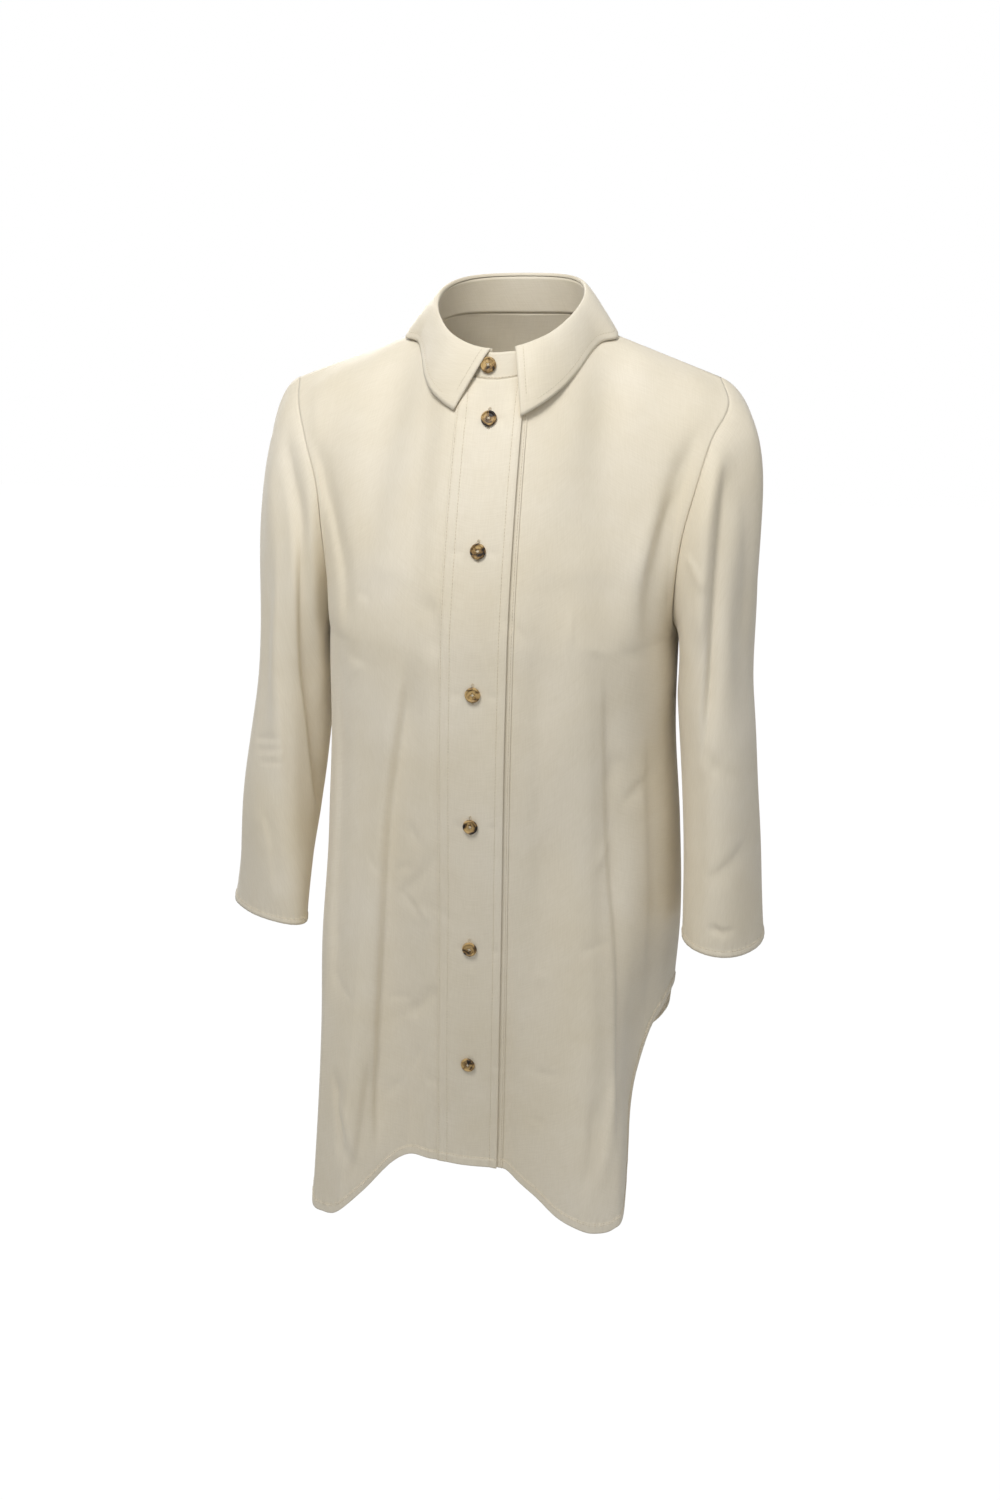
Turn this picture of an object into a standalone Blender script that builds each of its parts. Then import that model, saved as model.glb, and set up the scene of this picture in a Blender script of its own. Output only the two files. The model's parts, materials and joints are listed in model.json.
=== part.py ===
"""A button-up shirt with three-quarter sleeves, hollow and filled out as worn, in metres, +Z up.

The origin is the middle of the neck's base, at the height of the shoulder seams' neck ends. The
front faces -Y, so +X is the wearer's left. Every cloth piece is a closed wall: its outer surface
is a grid of points from the formulas below, and its inner one is the same grid set in along the
normals. Pieces that are sewn together share the points of their seam and are mitred there.
"""

import math

import bmesh
import bpy
import numpy as np
from mathutils import Vector


class Table:
    """Rows of sizes under named columns, read as a smooth curve along the first column."""

    def __init__(self, columns, rows):
        self.columns = columns
        self.rows = np.array(rows, float)

    def cell(self, row, column):
        """One size, by its row's number and its column's name."""
        return float(self.rows[row, self.columns.index(column)])

    def each(self):
        """Every row as a dictionary from column name to size."""
        return [dict(zip(self.columns, row)) for row in self.rows]

    def at(self, value):
        """Every column after the first, by name, at the given values of the first one."""
        rows = self.rows if self.rows[0, 0] < self.rows[-1, 0] else self.rows[::-1]
        knots, sizes = rows[:, 0], rows[:, 1:]
        slopes = np.gradient(sizes, knots, axis=0)
        value = np.clip(np.asarray(value, float), knots[0], knots[-1])
        i = np.clip(np.searchsorted(knots, value, side="right") - 1, 0, len(knots) - 2)
        width = (knots[i + 1] - knots[i])[..., None]
        t = (value - knots[i])[..., None] / width
        found = hermite(sizes[i], slopes[i] * width, sizes[i + 1], slopes[i + 1] * width, t)
        return dict(zip(self.columns[1:], np.moveaxis(found, -1, 0)))


# Cloth and seams
WALL = 0.0012
BAND_WALL = 0.0010
SEAM_GAP = 0.0003
LEAST_MITRE = 0.40

# Neckline: an oval ring that dips at the front
NECK_HALF_WIDTH = 0.0655
NECK_CENTRE_Y = -0.009
NECK_HALF_DEPTH = 0.069
NECK_FRONT_Z = -0.038
NECK_SIDE_Z = 0.0
NECK_BACK_Z = 0.011
SHOULDER_TURN = math.radians(97)

# Trunk: super-oval rings from the underarm down
RING_POWER = 0.85
UNDERARM_Z = -0.247
TRUNK = Table(("height", "half_width", "front_depth", "back_depth"), (
    (-0.247, 0.1500, 0.1290, 0.1060),
    (-0.330, 0.1500, 0.1270, 0.0980),
    (-0.420, 0.1570, 0.1220, 0.0950),
    (-0.510, 0.1605, 0.1160, 0.1000),
    (-0.600, 0.1555, 0.1110, 0.1080),
    (-0.700, 0.1525, 0.1070, 0.1120),
    (-0.800, 0.1510, 0.1050, 0.1140),
))

# Hem height around the body, from the centre front over the side notch to the centre back
HEM = Table(("turn_deg", "wearers_right", "wearers_left"), (
    (0, -0.721, -0.721),
    (9, -0.720, -0.724),
    (17, -0.720, -0.740),
    (23, -0.728, -0.751),
    (28, -0.747, -0.756),
    (34, -0.765, -0.759),
    (43, -0.773, -0.758),
    (52, -0.771, -0.743),
    (60, -0.740, -0.674),
    (68, -0.674, -0.611),
    (78, -0.608, -0.588),
    (90, -0.578, -0.576),
    (100, -0.600, -0.592),
    (112, -0.640, -0.622),
    (130, -0.690, -0.668),
    (150, -0.722, -0.712),
    (180, -0.734, -0.734),
))

# Flutes: the cloth swings out between two turns, more towards the hem
FLUTES = Table(("turn_from", "turn_full", "turn_wane", "turn_to", "top_z", "depth", "aside"), (
    (8, 34, 44, 66, -0.400, 0.054, 0.55),
    (-18, -34, -50, -72, -0.330, 0.054, 0.40),
    (100, 118, 122, 138, -0.420, 0.014, 1.0),
    (138, 155, 160, 176, -0.380, 0.016, 1.0),
    (-102, -120, -126, -142, -0.400, 0.015, 1.0),
    (-142, -158, -164, -178, -0.440, 0.013, 1.0),
))
FLUTE_HEM_Z = -0.750
FLUTE_AHEAD = 0.95

# How the cloth leaves the neckline and the shoulder seam, by station: 0 is the centre front or
# back, 1 the neck end of the shoulder seam and 2 its arm end
FRONT_FALL = Table(("station", "outward", "away", "down"), (
    (0.0, 0.000, 0.085, 0.175),
    (0.5, 0.012, 0.115, 0.140),
    (1.0, 0.030, 0.150, 0.050),
    (1.5, 0.020, 0.150, 0.016),
    (2.0, 0.010, 0.120, 0.010),
))
BACK_FALL = Table(("station", "outward", "away", "down"), (
    (0.0, 0.000, 0.100, 0.170),
    (0.5, 0.012, 0.120, 0.130),
    (1.0, 0.025, 0.120, 0.050),
    (1.5, 0.015, 0.110, 0.016),
    (2.0, 0.010, 0.085, 0.010),
))
CHEST_FALL = 0.150
CORNER_SOFTENING = 0.16

# Where the columns reach the chest line, always further out from one station to the next
CHEST_COLUMNS = Table(("station", "x"), (
    (0.00, 0.0000),
    (0.11, 0.0123),
    (0.27, 0.0308),
    (0.39, 0.0453),
    (0.51, 0.0596),
    (0.64, 0.0732),
    (0.76, 0.0834),
    (0.88, 0.0916),
    (1.00, 0.0992),
))
CHEST_HANDOVER = math.radians(18.7)

# Armholes: from the shoulder point (along 0) to the underarm (along 1)
FRONT_ARMHOLE_LEFT = Table(("along", "x", "y", "z"), (
    (0.00, 0.1710, 0.000, -0.0375),
    (0.10, 0.1800, -0.020, -0.0560),
    (0.25, 0.1700, -0.043, -0.0840),
    (0.42, 0.1610, -0.056, -0.1220),
    (0.58, 0.1530, -0.058, -0.1600),
    (0.74, 0.1490, -0.050, -0.2000),
    (0.88, 0.1475, -0.030, -0.2330),
    (1.00, 0.1500, 0.000, -0.2470),
))
FRONT_ARMHOLE_RIGHT = Table(("along", "x", "y", "z"), (
    (0.00, 0.1860, 0.000, -0.0410),
    (0.10, 0.1800, -0.021, -0.0580),
    (0.25, 0.1670, -0.043, -0.0870),
    (0.42, 0.1530, -0.056, -0.1240),
    (0.58, 0.1480, -0.058, -0.1610),
    (0.74, 0.1455, -0.050, -0.1990),
    (0.88, 0.1460, -0.030, -0.2320),
    (1.00, 0.1500, 0.000, -0.2470),
))
BACK_ARMHOLE_LEFT = Table(("along", "x", "y", "z"), (
    (0.00, 0.1710, 0.000, -0.0375),
    (0.10, 0.1730, 0.020, -0.0570),
    (0.25, 0.1660, 0.039, -0.0860),
    (0.42, 0.1580, 0.050, -0.1240),
    (0.58, 0.1530, 0.052, -0.1620),
    (0.74, 0.1500, 0.045, -0.2010),
    (0.88, 0.1480, 0.027, -0.2330),
    (1.00, 0.1500, 0.000, -0.2470),
))
BACK_ARMHOLE_RIGHT = Table(("along", "x", "y", "z"), (
    (0.00, 0.1860, 0.000, -0.0410),
    (0.10, 0.1800, 0.020, -0.0580),
    (0.25, 0.1680, 0.039, -0.0870),
    (0.42, 0.1580, 0.050, -0.1240),
    (0.58, 0.1530, 0.052, -0.1620),
    (0.74, 0.1500, 0.045, -0.2010),
    (0.88, 0.1480, 0.027, -0.2330),
    (1.00, 0.1500, 0.000, -0.2470),
))
ARMHOLE_REACH = 0.70
ARMHOLE_POWER = 2.6

# Sleeves: oval sections down the arm; turn swings the section's front end towards the body
SLEEVE_LEFT = Table(("height", "centre_x", "centre_y", "half_width", "half_depth", "turn_deg", "tilt"), (
    (-0.300, 0.1850, -0.012, 0.0320, 0.0600, 0, 0.0),
    (-0.400, 0.1950, -0.022, 0.0320, 0.0560, 0, 0.0),
    (-0.510, 0.2040, -0.034, 0.0335, 0.0500, 2, -0.004),
))
SLEEVE_RIGHT = Table(("height", "centre_x", "centre_y", "half_width", "half_depth", "turn_deg", "tilt"), (
    (-0.300, 0.1880, -0.010, 0.0345, 0.0600, 6, 0.0),
    (-0.400, 0.2005, -0.022, 0.0355, 0.0560, 22, 0.0),
    (-0.516, 0.2100, -0.040, 0.0245, 0.0540, 50, 0.005),
))
CAP_SPEED_LEFT, CAP_SPEED_RIGHT = 0.190, 0.140
CAP_SPEED_SIDE, CAP_SPEED_UNDER = 0.100, 0.050
CAP_OUT_TOP, CAP_OUT_SIDE, CAP_OUT_UNDER = 0.92, 0.30, 0.62
CAP_DROP_TOP, CAP_DROP_SIDE, CAP_DROP_UNDER = 0.38, 0.80, 0.78
CAP_FORWARD = 0.50

# Sleeve folds: long troughs in the tube, by turn around the arm (0 outside, 90 front)
SLEEVE_FOLDS_LEFT = Table(("turn_deg", "half_turn", "top_z", "low_z", "depth"), (
    (38, 20, -0.060, -0.330, 0.0050),
    (118, 24, -0.300, -0.500, 0.0040),
    (262, 26, -0.200, -0.470, 0.0050),
))
SLEEVE_FOLDS_RIGHT = Table(("turn_deg", "half_turn", "top_z", "low_z", "depth"), (
    (52, 22, -0.070, -0.420, 0.0055),
    (128, 22, -0.260, -0.470, 0.0035),
    (258, 26, -0.220, -0.480, 0.0050),
))

# Front edges and the layers of the closed front
EDGE_BEYOND_CENTRE = 0.0250
PLACKET_INNER_EDGE = 0.0265
UNDER_EDGE_BEYOND = 0.0240
UNDER_BAND_EDGE = 0.0290
LAYER_LIFT = WALL + BAND_WALL + 3 * SEAM_GAP
LIFT_START, LIFT_END = 0.056, 0.034
BAND_TOP_CLEARANCE = 0.0010

# Centre line of the front: it hangs a little askew
LEAN_AT_NECK = 0.0065
LEAN_PER_METRE = 0.0285
LEAN_DEPTH = 0.080
NECK_LEAN_HEIGHTS = (-0.200, -0.020)

# Collar
STAND_FRONT_HEIGHT = 0.0205
STAND_SIDE_HEIGHT = 0.0240
STAND_BACK_HEIGHT = 0.0300
STAND_LEAN = 0.22
STAND_TAB_ROUNDING = 0.0045
ROLL_RISE = 0.0090
ROLL_OUT = 0.0066
ROLL_OVER = 0.0046
LEAF_LIFT = 0.0022
LEAF_TIP_LIFT = 0.0070
LEAF_END_LEFT = math.radians(14)
LEAF_END_RIGHT = math.radians(2)
LEAF_FRONT_LEFT = Table(("along", "station", "down"), (
    (0.00, 0.22, 0.176),
    (0.25, 0.48, 0.152),
    (0.50, 0.79, 0.129),
    (0.72, 1.04, 0.099),
    (0.88, 1.18, 0.056),
    (1.00, 1.20, 0.000),
))
LEAF_FRONT_RIGHT = Table(("along", "station", "down"), (
    (0.00, 0.26, 0.164),
    (0.25, 0.52, 0.150),
    (0.50, 0.79, 0.129),
    (0.72, 1.04, 0.099),
    (0.88, 1.18, 0.056),
    (1.00, 1.20, 0.000),
))
LEAF_BACK = Table(("along", "station", "down"), (
    (0.00, 1.20, 0.000),
    (0.15, 1.14, 0.042),
    (0.35, 0.88, 0.076),
    (0.65, 0.46, 0.090),
    (1.00, 0.00, 0.090),
))

# Buttons
BUTTON_RADIUS = 0.0063
BUTTON_THICKNESS = 0.0028
BUTTON_RIM = 0.0019
BUTTON_DISH = 0.0009
BUTTON_SIDES = 18
TOP_BUTTON_Z = -0.066
SECOND_BUTTON_Z = -0.165
BUTTON_SPACING = 0.1130
BUTTON_COUNT = 6
COLLAR_BUTTON_X = -0.003
COLLAR_BUTTON_RISE = 0.52

# Facets
NECK_STEPS = 7
EDGE_STEPS = 3
SHOULDER_STEPS = 7
UPPER_STEPS = 8
LOWER_STEPS = 11
CAP_STEPS = 6
ARM_STEPS = 6
LEAF_STEPS = (0.0, 0.10, 0.24, 0.46, 0.74, 1.0)

CREAM = (0.800, 0.745, 0.620, 1.0)
HORN = (0.360, 0.210, 0.070, 1.0)


# ---------------------------------------------------------------------------- curves and tables


def ease(value, start, end):
    """A smooth step from 0 at start to 1 at end."""
    t = np.clip((np.asarray(value, float) - start) / (end - start), 0.0, 1.0)
    return t * t * (3.0 - 2.0 * t)


def hermite(start, start_speed, end, end_speed, t):
    """The cubic curve from start to end with the given speeds at its ends."""
    t2, t3 = t * t, t * t * t
    return (start * (2 * t3 - 3 * t2 + 1) + start_speed * (t3 - 2 * t2 + t)
            + end * (3 * t2 - 2 * t3) + end_speed * (t3 - t2))


def points(x, y, z):
    """Three arrays of coordinates as one array of points."""
    return np.stack(np.broadcast_arrays(x, y, z), axis=-1).astype(float)


def unit(vectors):
    """The vectors at length one."""
    length = np.linalg.norm(vectors, axis=-1, keepdims=True)
    return vectors / np.maximum(length, 1e-12)


def signed_power(value, power):
    """The value's size raised to the power, with the value's sign."""
    return np.sign(value) * np.abs(value) ** power


# ---------------------------------------------------------------------------- the body's surface


def neck_point(turn):
    """A point of the neckline ring; turn 0 is the centre front and pi the centre back."""
    level = (NECK_FRONT_Z + NECK_BACK_Z + 2 * NECK_SIDE_Z) / 4
    tilt = (NECK_FRONT_Z - NECK_BACK_Z) / 2
    dip = (NECK_FRONT_Z + NECK_BACK_Z - 2 * NECK_SIDE_Z) / 4
    return points(NECK_HALF_WIDTH * np.sin(turn),
                  NECK_CENTRE_Y - NECK_HALF_DEPTH * np.cos(turn),
                  level + tilt * np.cos(turn) + dip * np.cos(2 * turn))


def flute_swing(turn, z):
    """How far the flutes carry the cloth out, and aside, at a turn and a height."""
    swing = np.zeros(np.broadcast(turn, z).shape)
    aside = np.zeros_like(swing)
    degrees = np.degrees(turn)
    for flute in FLUTES.each():
        sign = math.copysign(1.0, flute["turn_to"] - flute["turn_from"])
        rise = ease(sign * degrees, sign * flute["turn_from"], sign * flute["turn_full"])
        fall = 1.0 - ease(sign * degrees, sign * flute["turn_wane"], sign * flute["turn_to"])
        growth = ease(-z, -flute["top_z"], -FLUTE_HEM_Z + 0.10)
        depth = flute["depth"] * rise * fall * growth
        swing = swing + depth
        aside = aside + depth * flute["aside"]
    return swing, aside


def trunk_point(turn, z):
    """A point of the trunk below the underarm; turn 0 is the centre front, +90 deg is +X."""
    ring = TRUNK.at(z)
    half_width = ring["half_width"]
    chest_width = TRUNK.cell(0, "half_width")
    sine, cosine = np.sin(turn), np.cos(turn)
    keep = (chest_width / half_width) ** (1 / RING_POWER) - 1.0
    sine = sine * (1.0 + np.maximum(cosine, 0.0) ** 4 * keep)
    across = signed_power(sine, RING_POWER) * half_width
    depth = np.where(cosine > 0, ring["front_depth"], ring["back_depth"])
    depth = depth * signed_power(cosine, RING_POWER)
    swing, aside = flute_swing(turn, z)
    ahead = np.where(cosine > 0, FLUTE_AHEAD, cosine)
    sideways = np.where(cosine > 0, np.sign(sine), sine)
    return points(across + aside * sideways, -depth - swing * ahead, z)


def hem_height(turn):
    """The hem's height at a signed turn around the body."""
    sides = HEM.at(np.abs(np.degrees(turn)))
    right, left = sides["wearers_right"], sides["wearers_left"]
    share = np.where(np.abs(turn) > math.pi / 2, turn > 0, ease(turn, -0.15, 0.15))
    return right + (left - right) * share


def shoulder_end(side):
    """The arm end of a side's shoulder seam, as if that side were +X."""
    return armhole_point(side, np.array(0.0), True) * (side, 1.0, 1.0)


def top_edge(side, station, back):
    """The neckline up to station 1 and then the shoulder seam, as if the side were +X."""
    station = np.asarray(station, float)
    start = math.pi if back else 0.0
    turn = start + (SHOULDER_TURN - start) * np.minimum(station, 1.0)
    neck = neck_point(turn)
    corner = neck_point(np.array(SHOULDER_TURN))
    seam = corner + (shoulder_end(side) - corner) * np.maximum(station - 1.0, 0.0)[..., None]
    return np.where((station <= 1.0)[..., None], neck, seam)


def softened_top_edge(side, station, back):
    """The top edge with its corner at the neck rounded, for the cloth that hangs from it."""
    weights = np.array((1, 4, 6, 4, 1)) / 16.0
    shifts = np.array((-2, -1, 0, 1, 2)) * CORNER_SOFTENING
    return sum(w * top_edge(side, station + s, back) for w, s in zip(weights, shifts))


def chest_turn(station, back):
    """The turn around the chest at which a column from this station arrives."""
    station = np.asarray(station, float)
    chest_width = TRUNK.cell(0, "half_width")
    x = np.sign(station) * CHEST_COLUMNS.at(np.abs(station))["x"]
    arrive = np.arcsin(signed_power(x / chest_width, 1 / RING_POWER))
    last = math.asin((CHEST_COLUMNS.cell(-1, "x") / chest_width) ** (1 / RING_POWER))
    share = np.maximum(station - 1.0, 0.0)
    beyond = last + (math.pi / 2 - last) * share - CHEST_HANDOVER * share * (1.0 - share) ** 2
    arrive = np.where(station <= 1.0, arrive, beyond)
    return math.pi - arrive if back else arrive


def armhole_point(side, along, back):
    """A point of the armhole, from the shoulder point (along 0) to the underarm (along 1)."""
    if back:
        curve = (BACK_ARMHOLE_LEFT if side > 0 else BACK_ARMHOLE_RIGHT).at(along)
    else:
        curve = (FRONT_ARMHOLE_LEFT if side > 0 else FRONT_ARMHOLE_RIGHT).at(along)
    return points(side * curve["x"], curve["y"], curve["z"])


def leaving(station, back):
    """The way the cloth sets off from the top edge at a station, as if the side were +X."""
    fall = (BACK_FALL if back else FRONT_FALL).at(np.abs(station))
    away = fall["away"] if back else -fall["away"]
    return points(fall["outward"] * np.sign(station), away, -fall["down"])


def body_surface(side, back, station, down):
    """The front or back on one side: down 0 to 1 reaches the chest, and 1 to 2 the hem."""
    station, down = np.broadcast_arrays(np.asarray(station, float), np.asarray(down, float))
    mirror = np.array((side, 1.0, 1.0))
    turn = side * chest_turn(station, back)
    leave = leaving(station, back)
    soft = softened_top_edge(side, station, back)
    chest = trunk_point(turn, np.full(station.shape, UNDERARM_Z))
    below = trunk_point(turn, np.full(station.shape, UNDERARM_Z - 0.01))
    arrive = (below - chest) / 0.01 * CHEST_FALL
    t = np.minimum(down, 1.0)[..., None]
    upper = hermite(soft * mirror, leave * mirror, chest, arrive, t)
    fade = np.clip(1.0 - down / 0.22, 0.0, 1.0)[..., None] ** 3
    upper = upper + (top_edge(side, station, back) - soft) * mirror * fade
    # The last column is brought onto the armhole, and its neighbours follow it
    last = np.full(station.shape, 2.0)
    end_turn = np.full(station.shape, side * math.pi / 2)
    end_chest = trunk_point(end_turn, np.full(station.shape, UNDERARM_Z))
    end_below = trunk_point(end_turn, np.full(station.shape, UNDERARM_Z - 0.01))
    bare = hermite(softened_top_edge(side, last, back) * mirror, leaving(last, back) * mirror,
                   end_chest, (end_below - end_chest) / 0.01 * CHEST_FALL, t)
    reach = np.clip((station - ARMHOLE_REACH) / (2.0 - ARMHOLE_REACH), 0.0, 1.0)
    pull = armhole_point(side, np.minimum(down, 1.0), back) - bare
    upper = upper + reach[..., None] ** ARMHOLE_POWER * pull
    z = UNDERARM_Z + (hem_height(turn) - UNDERARM_Z) * np.maximum(down - 1.0, 0.0)
    return np.where((down <= 1.0)[..., None], upper, trunk_point(turn, z))


def upward_normal(side, back, station, down):
    """The front or back surface's outward normal above the chest, from small steps along it."""
    step = 1e-3
    low = np.maximum(down - step, 0.0)
    d_across = (body_surface(side, back, station + step, down)
                - body_surface(side, back, station - step, down))
    d_down = (body_surface(side, back, station, down + step)
              - body_surface(side, back, station, low))
    normal = np.cross(d_down, d_across)
    return unit(normal * np.sign(normal[:, 2:3]))


def hang_askew(positions):
    """The neck carried sideways over the chest, and the front along its leaning centre line."""
    moved = np.array(positions, float)
    neck = LEAN_AT_NECK * ease(moved[..., 2], *NECK_LEAN_HEIGHTS)
    lean = LEAN_AT_NECK + LEAN_PER_METRE * moved[..., 2]
    moved[..., 0] += neck + (lean - neck) * ease(-moved[..., 1], 0.0, LEAN_DEPTH)
    return moved


# ---------------------------------------------------------------------------- walls


class Cloth:
    """One cut piece: the grid of its outer surface, its normals and its thickness."""

    def __init__(self, name, grid, thickness=WALL, wraps=False, flip=False):
        self.name = name
        self.grid = np.array(grid, float)
        self.thickness = thickness
        self.wraps = wraps
        self.normals = self.grid_normals() * (-1.0 if flip else 1.0)

    def grid_normals(self):
        """Normals from the differences between neighbouring points."""
        down = np.gradient(self.grid, axis=0)
        if self.wraps:
            across = np.roll(self.grid, -1, axis=1) - np.roll(self.grid, 1, axis=1)
        else:
            across = np.gradient(self.grid, axis=1)
        return unit(np.cross(down, across))

    def border(self):
        """Each border point's row and column, with the direction into the piece."""
        rows, columns = self.grid.shape[:2]
        found = {}
        for j in range(columns):
            found.setdefault((0, j), []).append(self.grid[1, j] - self.grid[0, j])
            found.setdefault((rows - 1, j), []).append(self.grid[-2, j] - self.grid[-1, j])
        if not self.wraps:
            for i in range(rows):
                found.setdefault((i, 0), []).append(self.grid[i, 1] - self.grid[i, 0])
                found.setdefault((i, columns - 1), []).append(self.grid[i, -2] - self.grid[i, -1])
        return {cell: sum(unit(d) for d in ways) for cell, ways in found.items()}


def sew(pieces):
    """The outer and inner grids of every piece, mitred and parted where seams are shared."""
    meetings = {}
    for piece in pieces:
        for cell, inward in piece.border().items():
            key = tuple(np.round(piece.grid[cell], 5))
            meetings.setdefault(key, []).append((piece, cell, inward))
    walls = {}
    for piece in pieces:
        walls[piece.name] = [piece.grid.copy(), piece.grid - piece.normals * piece.thickness]
    for meeting in meetings.values():
        if len({piece.name for piece, _, _ in meeting}) < 2:
            continue
        normals = [piece.normals[cell] for piece, cell, _ in meeting]
        inwards = [unit(inward) for _, _, inward in meeting]
        mitre = unit(sum(normals) + 0.02 * sum(inwards))
        cosine = max(min(float(mitre @ n) for n in normals), LEAST_MITRE)
        for (piece, cell, inward), way in zip(meeting, inwards):
            across = np.linalg.norm(way - (way @ mitre) * mitre)
            corner = 1.0 if np.linalg.norm(inward) < 1.2 else 1.5
            shift = way * corner * 0.5 * SEAM_GAP / max(across, 0.3)
            outer = piece.grid[cell] + shift
            walls[piece.name][0][cell] = outer
            walls[piece.name][1][cell] = outer - mitre * piece.thickness / cosine
    return walls


def wall_object(name, outer, inner, wraps, material):
    """A closed wall between two grids, as one object."""
    rows, columns = outer.shape[:2]
    vertices = [tuple(p) for p in hang_askew(outer).reshape(-1, 3)]
    vertices += [tuple(p) for p in hang_askew(inner).reshape(-1, 3)]
    behind = rows * columns
    spans = columns if wraps else columns - 1
    faces = []
    for i in range(rows - 1):
        for j in range(spans):
            a, b = i * columns + j, i * columns + (j + 1) % columns
            c, d = b + columns, a + columns
            faces += [(a, b, c), (a, c, d)]
            faces += [(behind + a, behind + c, behind + b), (behind + a, behind + d, behind + c)]
    edge = [[(j, (j + 1) % columns) for j in range(spans)],
            [((rows - 1) * columns + j, (rows - 1) * columns + (j + 1) % columns)
             for j in range(spans)]]
    if not wraps:
        edge.append([(i * columns, (i + 1) * columns) for i in range(rows - 1)])
        edge.append([((i + 1) * columns - 1, (i + 2) * columns - 1) for i in range(rows - 1)])
    for run in edge:
        for a, b in run:
            faces += [(a, b, behind + b), (a, behind + b, behind + a)]
    return mesh_object(name, vertices, faces, material)


def mesh_object(name, vertices, faces, material):
    """An object from vertices and faces, with its faces turned outwards."""
    mesh = bpy.data.meshes.new(name)
    mesh.from_pydata(vertices, [], faces)
    shape = bmesh.new()
    shape.from_mesh(mesh)
    bmesh.ops.recalc_face_normals(shape, faces=shape.faces)
    shape.to_mesh(mesh)
    shape.free()
    mesh.shade_smooth()
    mesh.set_sharp_from_angle(angle=math.radians(50))
    mesh.materials.append(material)
    item = bpy.data.objects.new(name, mesh)
    bpy.context.scene.collection.objects.link(item)
    return item


def make_material(name, colour, roughness):
    """A Principled material of one colour."""
    material = bpy.data.materials.new(name)
    material.use_nodes = True
    shader = material.node_tree.nodes["Principled BSDF"]
    shader.inputs["Base Color"].default_value = colour
    shader.inputs["Roughness"].default_value = roughness
    shader.inputs["Metallic"].default_value = 0.0
    return material


# ---------------------------------------------------------------------------- cut pieces


def station_at(distance):
    """The neckline station at a distance from the centre front."""
    return math.asin(distance / NECK_HALF_WIDTH) / SHOULDER_TURN


def front_stations(edge, band_edge):
    """Columns of a front, from its free edge over its band's edge to the armhole."""
    band = np.linspace(station_at(-edge), station_at(band_edge), EDGE_STEPS + 1)
    neck = np.linspace(station_at(band_edge), 1.0, NECK_STEPS)
    shoulder = np.linspace(1.0, 2.0, SHOULDER_STEPS + 1)
    return np.concatenate([band, neck[1:], shoulder[1:]])


def row_steps():
    """Rows from the top edge to the hem."""
    upper = np.linspace(0.0, 1.0, UPPER_STEPS + 1)
    lower = np.linspace(1.0, 2.0, LOWER_STEPS + 1)
    return np.concatenate([upper, lower[1:]])


def front_piece(name, side, stations, lift):
    """One front; a positive lift carries its edge out over the other front's layers."""
    across, down = np.meshgrid(stations, row_steps())
    grid = body_surface(side, False, across, down)
    piece = Cloth(name, grid, flip=side < 0)
    if lift > 0:
        distance = side * grid[..., 0]
        raised = lift * ease(-distance, -LIFT_START, -LIFT_END)
        piece = Cloth(name, grid + piece.normals * raised[..., None], flip=side < 0)
    return piece


def back_piece():
    """The back, in one piece from side seam to side seam."""
    neck = np.linspace(0.0, 1.0, NECK_STEPS + 1)
    shoulder = np.linspace(1.0, 2.0, SHOULDER_STEPS + 1)
    stations = np.concatenate([neck, shoulder[1:]])
    across, down = np.meshgrid(stations, row_steps())
    left = body_surface(1.0, True, across, down)
    right = body_surface(-1.0, True, across, down)
    return Cloth("back", np.concatenate([left[:, ::-1], right[:, 1:]], axis=1))


def sleeve_section(side, z, around):
    """A point of the sleeve's oval section at a height; around 0 is the outer side."""
    arm = (SLEEVE_LEFT if side > 0 else SLEEVE_RIGHT).at(z)
    swing = np.radians(arm["turn_deg"])
    out = arm["half_width"] * np.cos(around)
    ahead = arm["half_depth"] * np.sin(around)
    x = arm["centre_x"] + out * np.cos(swing) - ahead * np.sin(swing)
    y = arm["centre_y"] - out * np.sin(swing) - ahead * np.cos(swing)
    return points(side * x, y, z + arm["tilt"] * np.cos(around))


def three_way(around, top, middle, under):
    """A value that is top at turn 0, middle at a quarter turn and under at half a turn."""
    first = (top - under) / 2
    mean = (top + under) / 2
    return (mean + middle) / 2 + first * np.cos(around) + (mean - middle) / 2 * np.cos(2 * around)


def sleeve_folds(side, around, z):
    """How far the long folds draw the sleeve's cloth in."""
    folds = SLEEVE_FOLDS_LEFT if side > 0 else SLEEVE_FOLDS_RIGHT
    draw = np.zeros(np.broadcast(around, z).shape)
    for fold in folds.each():
        off = (np.degrees(around) - fold["turn_deg"] + 180.0) % 360.0 - 180.0
        middle, reach = (fold["top_z"] + fold["low_z"]) / 2, (fold["top_z"] - fold["low_z"]) / 2
        along = np.clip(1.0 - ((z - middle) / reach) ** 2, 0.0, 1.0)
        draw = draw + fold["depth"] * np.exp(-(off / fold["half_turn"]) ** 2) * along
    return draw


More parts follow.
